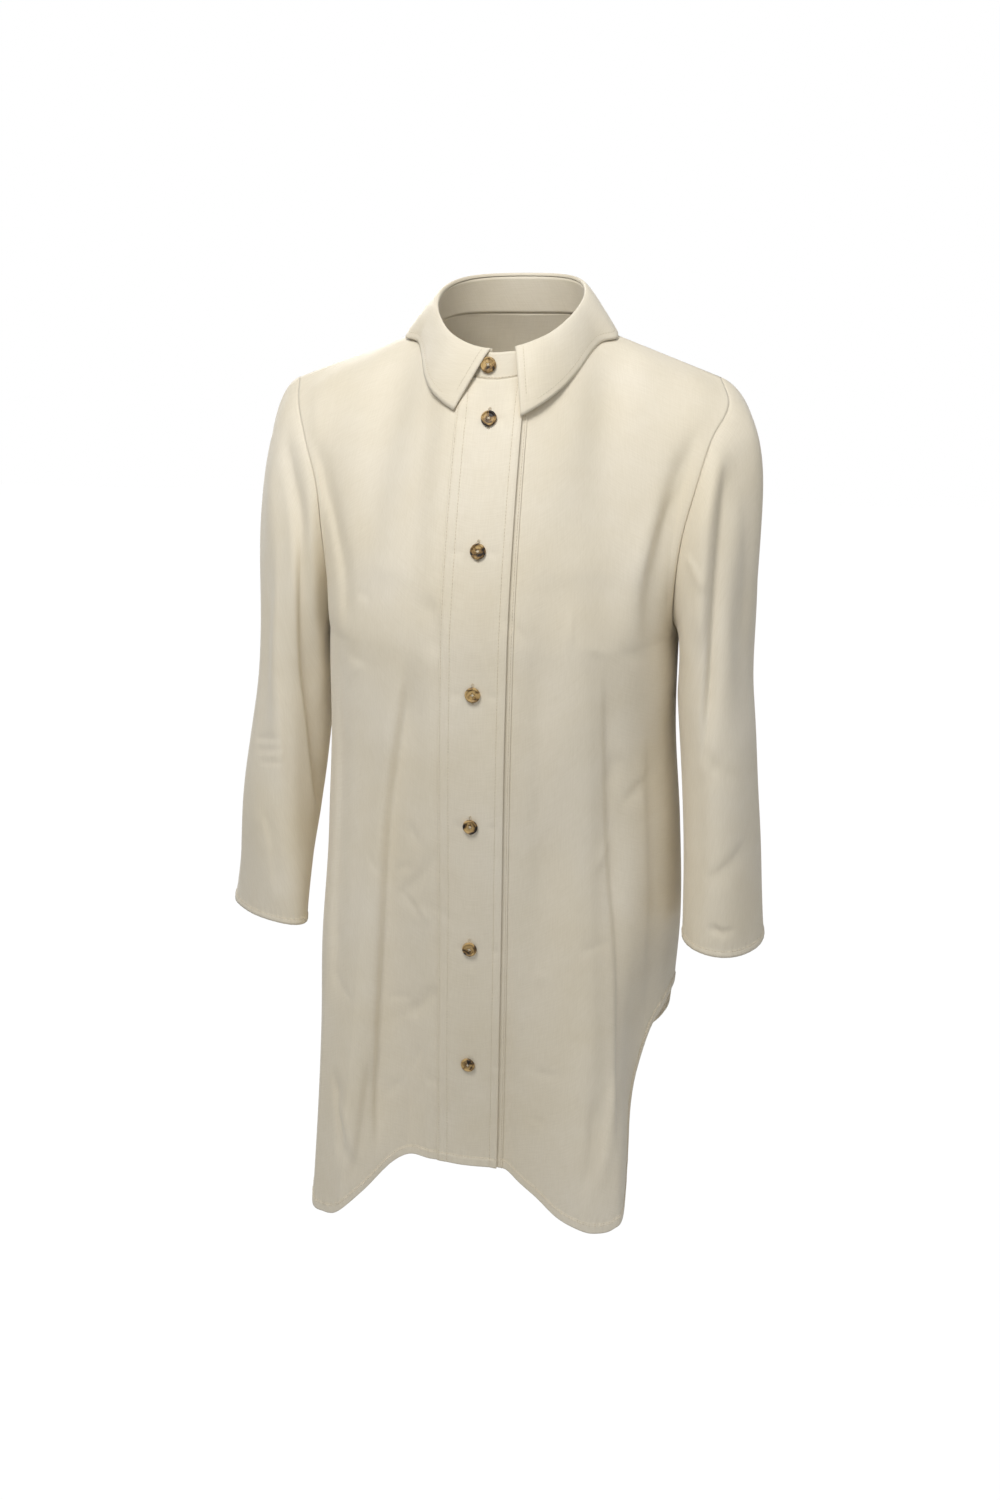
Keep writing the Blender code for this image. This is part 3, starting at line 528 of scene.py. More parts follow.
@dataclass(frozen=True)
class BodyForm:
    """The form that the fronts and the back take on the wearer."""

    neck_half_width: float = 0.0655
    neck_centre_y: float = -0.009
    neck_half_depth: float = 0.069
    neck_front_z: float = -0.038
    neck_side_z: float = 0.0
    neck_back_z: float = 0.011
    shoulder_turn: float = math.radians(97)
    ring_power: float = 0.85
    underarm_z: float = -0.247
    flute_hem_z: float = -0.75
    flute_full_beyond: float = 0.1
    flute_ahead: float = 0.95
    keep_power: int = 4
    hem_blend: float = 0.15
    chest_fall: float = 0.15
    chest_handover: float = math.radians(18.7)
    corner_softening: float = 0.16
    corner_reach: float = 3.0
    corner_reads: int = 49
    seam_reach: float = 0.22
    seam_power: int = 3
    chest_step: float = 0.01
    normal_step: float = 1e-3
    armhole_reach: float = 0.7
    armhole_power: float = 2.6
    lean_at_neck: float = 0.0065
    lean_per_metre: float = 0.0285
    lean_depth: float = 0.08
    neck_lean_low: float = -0.2
    neck_lean_high: float = -0.02
    trunk: Table = Table(("height", "half_width", "front_depth", "back_depth"), (
        (-0.247, 0.15, 0.129, 0.106), (-0.33, 0.15, 0.127, 0.098),
        (-0.42, 0.157, 0.122, 0.095), (-0.51, 0.1605, 0.116, 0.1),
        (-0.6, 0.1555, 0.111, 0.108), (-0.7, 0.1525, 0.107, 0.112),
        (-0.8, 0.151, 0.105, 0.114),
    ))
    hem: Table = Table(("turn_deg", "wearers_right", "wearers_left"), (
        (0, -0.721, -0.721), (9, -0.72, -0.724), (17, -0.72, -0.74), (23, -0.728, -0.751),
        (28, -0.747, -0.756), (34, -0.765, -0.759), (43, -0.773, -0.758), (52, -0.771, -0.743),
        (60, -0.74, -0.674), (68, -0.674, -0.611), (78, -0.608, -0.588), (90, -0.578, -0.576),
        (100, -0.6, -0.592), (112, -0.64, -0.622), (130, -0.69, -0.668),
        (150, -0.722, -0.712), (180, -0.734, -0.734),
    ))
    flutes: Table = Table(
        ("turn_from", "turn_full", "turn_wane", "turn_to", "top_z", "depth", "aside"), (
            (8, 34, 44, 66, -0.4, 0.054, 0.55),
            (-18, -34, -50, -72, -0.33, 0.054, 0.4), (100, 118, 122, 138, -0.42, 0.014, 1.0),
            (138, 155, 160, 176, -0.38, 0.016, 1.0),
            (-102, -120, -126, -142, -0.4, 0.015, 1.0),
            (-142, -158, -164, -178, -0.44, 0.013, 1.0),
        ))
    front_fall: Table = Table(FALL_COLUMNS, (
        (0.0, 0.000, 0.085, 0.175), (0.5, 0.012, 0.115, 0.14), (1.0, 0.03, 0.15, 0.05),
        (1.5, 0.02, 0.15, 0.016), (2.0, 0.01, 0.12, 0.01),
    ))
    back_fall: Table = Table(FALL_COLUMNS, (
        (0.0, 0.000, 0.1, 0.17), (0.5, 0.012, 0.12, 0.13), (1.0, 0.025, 0.12, 0.05),
        (1.5, 0.015, 0.11, 0.016), (2.0, 0.01, 0.085, 0.01),
    ))
    chest_columns: Table = Table(("station", "x"), (
        (0.00, 0.0000), (0.11, 0.0123), (0.27, 0.0308), (0.39, 0.0453), (0.51, 0.0596),
        (0.64, 0.0732), (0.76, 0.0834), (0.88, 0.0916), (1.00, 0.0992),
    ))
    armhole_front_left: Table = armhole(
        (0.171, 0.18, 0.17, 0.161, 0.153, 0.149, 0.1475, 0.15),
        (0.000, -0.02, -0.043, -0.056, -0.058, -0.05, -0.03, 0.000),
        (-0.0375, -0.056, -0.084, -0.122, -0.16, -0.2, -0.233, -0.247))
    armhole_front_right: Table = armhole(
        (0.186, 0.18, 0.167, 0.153, 0.148, 0.1455, 0.146, 0.15),
        (0.000, -0.021, -0.043, -0.056, -0.058, -0.05, -0.03, 0.000),
        (-0.041, -0.058, -0.087, -0.124, -0.161, -0.199, -0.232, -0.247))
    armhole_back_left: Table = armhole(
        (0.171, 0.173, 0.166, 0.158, 0.153, 0.15, 0.148, 0.15),
        (0.000, 0.02, 0.039, 0.05, 0.052, 0.045, 0.027, 0.000),
        (-0.0375, -0.057, -0.086, -0.124, -0.162, -0.201, -0.233, -0.247))
    armhole_back_right: Table = armhole(
        (0.186, 0.18, 0.168, 0.158, 0.153, 0.15, 0.148, 0.15),
        (0.000, 0.02, 0.039, 0.05, 0.052, 0.045, 0.027, 0.000),
        (-0.041, -0.058, -0.087, -0.124, -0.162, -0.201, -0.233, -0.247))

    def neck_point(self, turn: Array) -> Array:
        """The neckline: an oval whose height follows the cosines of the turn and its double."""
        return points(self.neck_half_width * np.sin(turn),
                      self.neck_centre_y - self.neck_half_depth * np.cos(turn),
                      by_turn(turn, self.neck_front_z, self.neck_side_z, self.neck_back_z))

    def flute_swing(self, turn: Array, z: Array) -> tuple[Array, Array]:
        """How far the flutes carry the cloth out and aside: steps up and down, growing downwards.

        Args:
            turn: The turn around the trunk, 0 in front and +90 degrees at +X.
            z: The height.

        Returns:
            The swing outwards, and the swing sideways.
        """
        swing = np.zeros(np.broadcast(turn, z).shape)
        aside = np.zeros_like(swing)
        degrees = np.degrees(turn)
        for flute in self.flutes.each():
            sign = math.copysign(1.0, flute["turn_to"] - flute["turn_from"])
            rise = ease(sign * degrees, sign * flute["turn_from"], sign * flute["turn_full"])
            fall = 1.0 - ease(sign * degrees, sign * flute["turn_wane"], sign * flute["turn_to"])
            growth = ease(-z, -flute["top_z"], -self.flute_hem_z + self.flute_full_beyond)
            depth = flute["depth"] * rise * fall * growth
            swing = swing + depth
            aside = aside + depth * flute["aside"]
        return swing, aside

    def trunk_point(self, turn: Array, z: Array) -> Array:
        """The trunk: a super-oval ring at each height, carried out by the flutes.

        Args:
            turn: The turn around the trunk.
            z: The height.

        Returns:
            Points of the trunk.
        """
        ring = self.trunk.at(z)
        half_width = ring["half_width"]
        chest_width = self.trunk.cell(0, "half_width")
        sine, cosine = np.sin(turn), np.cos(turn)
        keep = (chest_width / half_width) ** (1 / self.ring_power) - 1.0
        sine = sine * (1.0 + np.maximum(cosine, 0.0) ** self.keep_power * keep)
        across = signed_power(sine, self.ring_power) * half_width
        depth = np.where(cosine > 0, ring["front_depth"], ring["back_depth"])
        depth = depth * signed_power(cosine, self.ring_power)
        swing, aside = self.flute_swing(turn, z)
        ahead = np.where(cosine > 0, self.flute_ahead, cosine)
        sideways = np.where(cosine > 0, np.sign(sine), sine)
        return points(across + aside * sideways, -depth - swing * ahead, z)

    def hem_height(self, turn: Array) -> Array:
        """The hem's height at a turn: one side's curve, blended into the other's in front."""
        sides = self.hem.at(np.abs(np.degrees(turn)))
        right, left = sides["wearers_right"], sides["wearers_left"]
        share = ease(turn, -self.hem_blend, self.hem_blend)
        share = np.where(np.abs(turn) > math.pi / 2, turn > 0, share)
        return right + (left - right) * share

    def armhole_point(self, side: Side, along: Array, half: Half) -> Array:
        """The armhole's curve, from the shoulder point (0) to the underarm (1)."""
        tables = {
            (Side.LEFT, Half.FRONT): self.armhole_front_left,
            (Side.RIGHT, Half.FRONT): self.armhole_front_right,
            (Side.LEFT, Half.BACK): self.armhole_back_left,
            (Side.RIGHT, Half.BACK): self.armhole_back_right,
        }
        curve = tables[side, half].at(along)
        return points(side.value * curve["x"], curve["y"], curve["z"])

    def top_edge(self, side: Side, station: Array, half: Half) -> Array:
        """The neckline up to station 1, then the straight shoulder seam, as if on +X.

        Args:
            side: Whose shoulder it is.
            station: 0 at the centre, 1 at the neck's corner, 2 at the shoulder point.
            half: The front or the back.

        Returns:
            Points of the edge.
        """
        start = math.pi if half is Half.BACK else 0.0
        turn = start + (self.shoulder_turn - start) * np.minimum(station, 1.0)
        neck = self.neck_point(turn)
        corner = self.neck_point(np.array(self.shoulder_turn))
        mirror = (side.value, 1.0, 1.0)
        end = self.armhole_point(side, np.array(0.0), Half.BACK) * mirror
        seam = corner + (end - corner) * np.maximum(station - 1.0, 0.0)[..., None]
        return np.where((station <= 1.0)[..., None], neck, seam)

    def soft_top_edge(self, side: Side, station: Array, half: Half) -> Array:
        """The top edge with its corner rounded: a mean of near stations, weighted by a bell."""
        shifts = np.linspace(-self.corner_reach, self.corner_reach, self.corner_reads)
        shifts = shifts * self.corner_softening
        weights = hump(shifts, self.corner_softening * math.sqrt(2.0))
        weights = weights / weights.sum()
        return sum(w * self.top_edge(side, station + s, half) for w, s in zip(weights, shifts))

    def chest_turn(self, station: Array, half: Half) -> Array:
        """The turn at which a column reaches the chest line: read off by its X, then evenly on."""
        chest_width = self.trunk.cell(0, "half_width")
        x = np.sign(station) * self.chest_columns.at(np.abs(station))["x"]
        arrive = np.arcsin(signed_power(x / chest_width, 1 / self.ring_power))
        last = math.asin((self.chest_columns.cell(-1, "x") / chest_width) ** (1 / self.ring_power))
        share = np.maximum(station - 1.0, 0.0)
        beyond = (last + (math.pi / 2 - last) * share
                  - self.chest_handover * share * (1.0 - share) ** 2)
        arrive = np.where(station <= 1.0, arrive, beyond)
        return math.pi - arrive if half is Half.BACK else arrive

    def leaving(self, station: Array, half: Half) -> Array:
        """The way the cloth sets off from the top edge at a station, as if on +X."""
        fall = (self.back_fall if half is Half.BACK else self.front_fall).at(np.abs(station))
        away = fall["away"] if half is Half.BACK else -fall["away"]
        return points(fall["outward"] * np.sign(station), away, -fall["down"])

    def surface(self, side: Side, half: Half, station: Array, down: Array) -> Array:
        """A half of the body: cubics from the top edge to the chest line, then rings to the hem.

        Args:
            side: The wearer's side.
            half: The front or the back.
            station: 0 at the centre, 1 at the neck's corner, 2 at the armhole or side seam.
            down: 0 at the top edge, 1 at the chest line, 2 at the hem.

        Returns:
            Points of the surface.
        """
        station, down = np.broadcast_arrays(np.asarray(station, float), np.asarray(down, float))
        mirror = np.array((side.value, 1.0, 1.0))
        turn = side.value * self.chest_turn(station, half)
        soft = self.soft_top_edge(side, station, half)
        t = np.minimum(down, 1.0)[..., None]
        chest, arrive = self.chest_line(turn)
        upper = hermite(soft * mirror, self.leaving(station, half) * mirror, chest, arrive, t)
        fade = np.clip(1.0 - down / self.seam_reach, 0.0, 1.0)[..., None] ** self.seam_power
        upper = upper + (self.top_edge(side, station, half) - soft) * mirror * fade
        last = np.full(station.shape, 2.0)
        end_chest, end_arrive = self.chest_line(np.full(station.shape, side.value * math.pi / 2))
        bare = hermite(self.soft_top_edge(side, last, half) * mirror,
                       self.leaving(last, half) * mirror, end_chest, end_arrive, t)
        reach = np.clip((station - self.armhole_reach) / (2.0 - self.armhole_reach), 0.0, 1.0)
        pull = self.armhole_point(side, np.minimum(down, 1.0), half) - bare
        upper = upper + reach[..., None] ** self.armhole_power * pull
        below = self.hem_height(turn) - self.underarm_z
        lower = self.trunk_point(turn, self.underarm_z + below * np.maximum(down - 1.0, 0.0))
        return np.where((down <= 1.0)[..., None], upper, lower)

    def chest_line(self, turn: Array) -> tuple[Array, Array]:
        """The chest line at a turn, and the speed at which the cloth comes down to it."""
        step = self.chest_step
        chest, below = (self.trunk_point(turn, np.full(turn.shape, z))
                        for z in (self.underarm_z, self.underarm_z - step))
        return chest, (below - chest) / step * self.chest_fall

    def upward_normal(self, side: Side, half: Half, station: Array, down: Array) -> Array:
        """The surface's normal that points up, from small steps across and down it."""
        step = self.normal_step
        across = (self.surface(side, half, station + step, down)
                  - self.surface(side, half, station - step, down))
        along = (self.surface(side, half, station, down + step)
                 - self.surface(side, half, station, np.maximum(down - step, 0.0)))
        normal = np.cross(along, across)
        return unit(normal * np.sign(normal[..., 2:3]))

    def hang(self, place: Array) -> Array:
        """Points carried sideways: the neck over the chest, the front along its centre line."""
        moved = np.array(place, float)
        neck = self.lean_at_neck * ease(moved[..., 2], self.neck_lean_low, self.neck_lean_high)
        lean = self.lean_at_neck + self.lean_per_metre * moved[..., 2]
        moved[..., 0] += neck + (lean - neck) * ease(-moved[..., 1], 0.0, self.lean_depth)
        return moved


# ---- the sleeves' form


@dataclass(frozen=True)
class SleeveForm:
    """The form of one sleeve: a cap from the armhole, then oval sections down to the cuff."""

    side: Side
    body: BodyForm
    arm: Table
    folds: Table
    cap_speed: float
    cap_speed_side: float = 0.1
    cap_speed_under: float = 0.05
    cap_out: Triple = (0.92, 0.3, 0.62)
    cap_drop: Triple = (0.38, 0.8, 0.78)
    cap_arrive: Triple = (0.24, 0.16, 0.05)
    cap_forward: float = 0.5
    slope_step: float = 0.01
    draw_levels: tuple[float, float] = (6.0, 12.0)
    draw_full: float = 2.0

    def section(self, z: Array, around: Array) -> Array:
        """The oval section at a height: half width by cosine, half depth by sine, swung round."""
        arm = self.arm.at(z)
        swing = np.radians(arm["turn_deg"])
        out = arm["half_width"] * np.cos(around)
        ahead = arm["half_depth"] * np.sin(around)
        x = arm["centre_x"] + out * np.cos(swing) - ahead * np.sin(swing)
        y = arm["centre_y"] - out * np.sin(swing) - ahead * np.cos(swing)
        return points(self.side.value * x, y, z + arm["tilt"] * np.cos(around))

    def draw(self, around: Array, z: Array) -> Array:
        """How far the long folds draw the cloth in: a bell around, a parabola along."""
        total = np.zeros(np.broadcast(around, z).shape)
        for fold in self.folds.each():
            off = (np.degrees(around) - fold["turn_deg"] + 180.0) % 360.0 - 180.0
            middle = (fold["top_z"] + fold["low_z"]) / 2
            reach = (fold["top_z"] - fold["low_z"]) / 2
            along = np.clip(1.0 - ((z - middle) / reach) ** 2, 0.0, 1.0)
            total = total + fold["depth"] * np.exp(-(off / fold["half_turn"]) ** 2) * along
        return total

    def grid(self, columns: int, cap_rows: int, arm_rows: int) -> tuple[Grid, Array]:
        """The sleeve as a closed ring of columns, from the armhole down.

        Args:
            columns: How many columns go round, an even number.
            cap_rows: How many steps the cap has.
            arm_rows: How many steps the arm has.

        Returns:
            The grid, and the turn around the arm of each column.
        """
        along = np.linspace(0.0, 1.0, columns // 2 + 1)
        around = np.concatenate([math.pi * along, 2 * math.pi - math.pi * along[::-1][1:-1]])
        start = np.concatenate([self.body.armhole_point(self.side, along, Half.FRONT),
                                self.body.armhole_point(self.side, along[::-1][1:-1], Half.BACK)])
        bicep, cuff = self.arm.cell(0, "height"), self.arm.cell(-1, "height")
        ring = np.full(around.shape, bicep)
        end = self.section(ring, around)
        slope = (self.section(ring - self.slope_step, around) - end) / self.slope_step
        speed = by_turn(around, self.cap_speed, self.cap_speed_side, self.cap_speed_under)
        leave = points(self.side.value * by_turn(around, *self.cap_out),
                       -self.cap_forward * np.sin(around), -by_turn(around, *self.cap_drop))
        arrive = slope * by_turn(around, *self.cap_arrive)[:, None]
        t = np.linspace(0.0, 1.0, cap_rows + 1)[:, None, None]
        cap = hermite(start, unit(leave) * speed[:, None], end, arrive, t)
        turns, levels = np.meshgrid(around, np.linspace(bicep, cuff, arm_rows + 1)[1:])
        place = np.concatenate([cap, self.section(levels, turns)])
        tube = Grid(place, wraps=True, flip=self.side is Side.LEFT)
        middle, last = self.draw_levels
        level = np.concatenate([np.linspace(0.0, middle, cap_rows + 1),
                                np.linspace(middle, last, arm_rows + 1)[1:]])
        drawn = self.draw(np.broadcast_to(around, place.shape[:2]), place[..., 2])
        moved = tube.raised(-drawn * ease(level, 0.0, self.draw_full)[:, None])
        return Grid(self.body.hang(moved.place), True, tube.flip), around


# ---- meshes


def tube_faces(rings: int, around: int) -> Array:
    """The faces between rings of points that are numbered ring after ring."""
    row, column = np.arange(rings - 1)[:, None] * around, np.arange(around)
    a, b = (row + column).ravel(), (row + (column + 1) % around).ravel()
    return np.stack([a, b, b + around, a + around], axis=1)


def gather(parts: tuple[Mesh, ...]) -> Mesh:
    """Several vertex and face arrays as one pair."""
    before = np.cumsum([0] + [len(vertices) for vertices, _ in parts])
    return (np.concatenate([vertices for vertices, _ in parts]),
            np.concatenate([faces + count for (_, faces), count in zip(parts, before)]))


def mesh_piece(name: str, vertices: Array, faces: Array,
               uv: Array | None = None) -> bpy.types.Object:
    """An object at the origin from whole arrays of vertices and four-cornered faces.

    Args:
        name: The piece's name.
        vertices: Its points, one row each.
        faces: Four point numbers for each face; the last repeats the third in a triangle.
        uv: A flat place for each point, in metres.

    Returns:
        The linked object.
    """
    mesh = bpy.data.meshes.new(name)
    sizes = np.where(faces[:, 2] == faces[:, 3], 3, 4)
    keep = np.ones(faces.shape, bool)
    keep[sizes == 3, 3] = False
    loops = faces[keep].astype(np.int32)
    mesh.vertices.add(len(vertices))
    mesh.vertices.foreach_set("co", np.asarray(vertices, np.float32).ravel())
    mesh.loops.add(len(loops))
    mesh.loops.foreach_set("vertex_index", loops)
    mesh.polygons.add(len(faces))
    starts = np.concatenate([[0], np.cumsum(sizes)[:-1]]).astype(np.int32)
    mesh.polygons.foreach_set("loop_start", starts)
    if uv is not None:
        layer = mesh.uv_layers.new(name="cut")
        layer.data.foreach_set("uv", np.asarray(uv, np.float32)[loops].ravel())
    mesh.update(calc_edges=True)
    mesh.validate()
    mesh.shade_smooth()
    item = bpy.data.objects.new(name, mesh)
    bpy.context.scene.collection.objects.link(item)
    return item


@dataclass(frozen=True)
class Shell:
    """How a grid becomes cloth with two faces and a closed rim."""

    thickness: float

    def build(self, name: str, grid: Grid) -> bpy.types.Object:
        """The grid and the same grid set in by the thickness along its normals, joined at the rim.

        Args:
            name: The piece's name.
            grid: The outer surface.

        Returns:
            The piece, with the distances across and down the grid as its flat places.
        """
        outer = grid.place
        inner = outer - grid.normals() * self.thickness
        rows, columns = outer.shape[:2]
        index = np.arange(rows * columns).reshape(rows, columns)
        if grid.wraps:
            index = np.concatenate([index, index[:, :1]], axis=1)
        a, b = index[:-1, :-1].ravel(), index[:-1, 1:].ravel()
        c, d = index[1:, 1:].ravel(), index[1:, :-1].ravel()
        behind = rows * columns
        front = np.stack([a, d, c, b], axis=1)
        back = np.stack([a, b, c, d], axis=1) + behind
        rims = [(index[0, :-1], index[0, 1:]), (index[-1, 1:], index[-1, :-1])]
        if not grid.wraps:
            rims += [(index[1:, 0], index[:-1, 0]), (index[:-1, -1], index[1:, -1])]
        rim = np.concatenate([np.stack([s, e, e + behind, s + behind], axis=1) for s, e in rims])
        faces = np.concatenate([front, back, rim])
        if grid.flip:
            faces = faces[:, ::-1]
        flat = np.stack([grid.distance(Edge.FIRST), grid.distance(Edge.TOP)], axis=-1)
        vertices = np.concatenate([outer.reshape(-1, 3), inner.reshape(-1, 3)])
        uv = np.concatenate([flat.reshape(-1, 2)] * 2)
        return mesh_piece(name, vertices, faces, uv)


# ---- cloth pieces


@dataclass(frozen=True)
class Layers:
    """Thicknesses and gaps of the closed front's layers."""

    wall: float = 0.0012
    band_wall: float = 0.001
    gap: float = 0.0003
    lift_start: float = 0.056
    lift_end: float = 0.034

    @property
    def lift(self) -> float:
        """How far the top front stands over the under one: a wall, a band and three gaps."""
        return self.wall + self.band_wall + 3 * self.gap

    def lifted(self, grid: Grid) -> Grid:
        """The top front's grid, which lies on -X, risen towards the centre and past it."""
        return grid.raised(self.lift * ease(grid.place[..., 0], -self.lift_start, -self.lift_end))


@dataclass(frozen=True)
class Hem:
    """A turned and stitched edge."""

    width: float = 0.0088
    second_row: float = 0.0073
    step_before: float = 0.0004
    step_after: float = 0.0014
    pucker_reach: float = 0.006
    sway: float = 2.1
    sway_length: float = 5.3
    swell: float = 0.0008
    groove: float = 0.00065
    groove_width: float = 0.0009
    pucker: float = 0.0003
    pucker_length: float = 0.0075

    def height(self, distance: Array, along: Array) -> Array:
        """The edge's relief: a step at its width, a groove at its stitches and small puckers.

        Args:
            distance: How far each point lies from the edge.
            along: How far along the edge it lies.

        Returns:
            The height over the plain cloth.
        """
        step = self.swell * (1.0 - ease(distance, self.width - self.step_before,
                                        self.width + self.step_after))
        off = distance - self.width
        sway = self.sway * np.sin(2 * math.pi * along / (self.sway_length * self.pucker_length))
        wave = np.sin(2 * math.pi * along / self.pucker_length + sway)
        return (step - self.groove * hump(off, self.groove_width)
                + self.pucker * wave * hump(off, self.pucker_reach))


@dataclass(frozen=True)
class Sizes:
    """How finely the grids are read."""

    band: int = 26
    neck: int = 34
    shoulder: int = 58
    upper: int = 92
    lower: int = 118
    hem: int = 14
    hem_share: float = 0.034

    def downs(self) -> Array:
        """Rows from the top edge to the hem, closest over the turned hem."""
        upper = np.linspace(0.0, 1.0, self.upper + 1)
        lower = np.linspace(1.0, 2.0 - self.hem_share, self.lower + 1)
        hem = np.linspace(2.0 - self.hem_share, 2.0, self.hem + 1)
        return np.concatenate([upper, lower[1:], hem[1:]])


def crease_push(creases: tuple[Crease, ...], u: Array, v: Array) -> Array:
    """The sum of every crease's move at each point."""
    total = np.zeros(np.broadcast(u, v).shape)
    for crease in creases:
        total = total + crease.push(u, v)
    return total


@dataclass(frozen=True)
class BodyPanel:
    """A half of the body's cloth with its folds, read at any stations and rows."""

    body: BodyForm
    half: Half
    creases: tuple[Crease, ...]
    ripple: Ripple
    layers: Layers = Layers()
    hem: Hem = Hem()
    clear_side: float = 0.17
    clear_top: float = 0.12

    def plain(self, side: Side, stations: Array, downs: Array) -> Grid:
        """The panel's own form before its folds, the top front lifted over the under one.

        Args:
            side: The wearer's side.
            stations: Its columns.
            downs: Its rows.

        Returns:
            The grid, hung askew as the solids are.
        """
        top = side is Side.RIGHT and self.half is Half.FRONT
        grid = Grid(self.body.surface(side, self.half, *np.meshgrid(stations, downs)), flip=top)
        grid = self.layers.lifted(grid) if top else grid
        return Grid(self.body.hang(grid.place), flip=top)

    def folded(self, grid: Grid, stations: Array, downs: Array) -> Grid:
        """The folds pressed in, dying out towards the sewn edges.

        Args:
            grid: The plain grid.
            stations: Its columns, 2 at the armhole and the side seam.
            downs: Its rows, 0 at the top edge.

        Returns:
            The folded grid.
        """
        across, down = np.meshgrid(np.abs(stations), downs)
        clear = ease(2.0 - across, 0.0, self.clear_side) * ease(down, 0.0, self.clear_top)
        x, z = grid.place[..., 0], grid.place[..., 2]
        push = crease_push(self.creases, x, z) + self.ripple.push(x, z)
        return grid.raised(push * clear)

    def hemmed(self, grid: Grid) -> Grid:
        """The turned hem's relief along the bottom edge."""
        return grid.raised(self.hem.height(grid.distance(Edge.BOTTOM), grid.distance(Edge.FIRST)))


@dataclass(frozen=True)
class Stitching:
    """Rows of thread: one small rounded bar with four sides for each stitch."""

    pitch: float = 0.0027
    length: float = 0.002
    width: float = 0.0005
    height: float = 0.00038
    rings: tuple[float, ...] = (-0.5, -0.28, 0.28, 0.5)
    ring_sizes: tuple[float, ...] = (0.35, 1.0, 1.0, 0.35)
    before: float = 0.7
    after: float = 0.5
    look: float = 0.001
    rise: float = 0.12

    def bar(self) -> Mesh:
        """A bar along X: rings of an ellipse, closed at both ends."""
        x, size = np.array(self.rings), np.array(self.ring_sizes)
        turn = np.arange(4) * 2 * math.pi / 4
        place = points((x * self.length)[:, None] + 0 * turn,
                       size[:, None] * self.width / 2 * np.cos(turn),
                       size[:, None] * self.height / 2 * np.sin(turn))
        near, far = np.array([[0, 3, 2, 1]]), np.array([[0, 1, 2, 3]]) + (len(x) - 1) * 4
        return place.reshape(-1, 3), np.concatenate([tube_faces(len(x), 4), near, far])

    def bars(self, at: Array, way: Array, up: Array) -> Mesh:
        """A bar at each place, turned along its way with its height along up."""
        template, faces = self.bar()
        way = unit(way)
        across = unit(np.cross(up, way))
        up = np.cross(way, across)
        x, y, z = (template[None, :, k:k + 1] for k in range(3))
        turned = x * way[:, None] + y * across[:, None] + z * up[:, None]
        offsets = (np.arange(len(at)) * len(template))[:, None, None]
        return (at[:, None] + turned).reshape(-1, 3), (faces[None] + offsets).reshape(-1, 4)

    def row(self, path: Array, normals: Array) -> Mesh:
        """Bars at even steps along a path that lies on cloth.

        Args:
            path: Points along the cloth.
            normals: The cloth's outward normals there.

        Returns:
            Vertices and faces.
        """
        run = np.concatenate([[0.0], np.cumsum(np.linalg.norm(np.diff(path, axis=0), axis=1))])
        middles = np.arange(self.pitch * self.before, run[-1] - self.pitch * self.after,
                            self.pitch)
        at, ahead, behind = (interpolate(middles + shift, run, path)
                             for shift in (0.0, self.look, -self.look))
        up = unit(interpolate(middles, run, normals))
        return self.bars(at + up * self.height * self.rise, ahead - behind, up)

    def along(self, grid: Grid, edge: Edge, width: float,
              start: float = 0.0, end: float = 1.0) -> Mesh:
        """A row of stitches at a width inside an edge of a grid.

        Args:
            grid: The cloth.
            edge: The edge that is followed.
            width: How far inside it the stitches run.
            start: The share of the edge where they start.
            end: The share where they end.

        Returns:
            Vertices and faces.
        """
        at = grid.inset(edge, width)
        line = np.arange(len(at), dtype=float)
        rows, columns = (at, line) if edge.axis == 0 else (line, at)
        pick = slice(int(start * (len(at) - 1)), int(end * (len(at) - 1)) + 1)
        path = grid.read(rows, columns, grid.place)[pick]
        normals = unit(grid.read(rows, columns, grid.normals()))[pick]
        if grid.wraps and edge.axis == 0:
            path, normals = (np.concatenate([line, line[:1]]) for line in (path, normals))
        return self.row(path, normals)

    def hem_rows(self, grid: Grid, hem: Hem) -> list[Mesh]:
        """Both rows of stitches along a turned hem."""
        return [self.along(grid, Edge.BOTTOM, width) for width in (hem.width, hem.second_row)]


# ---- finishes


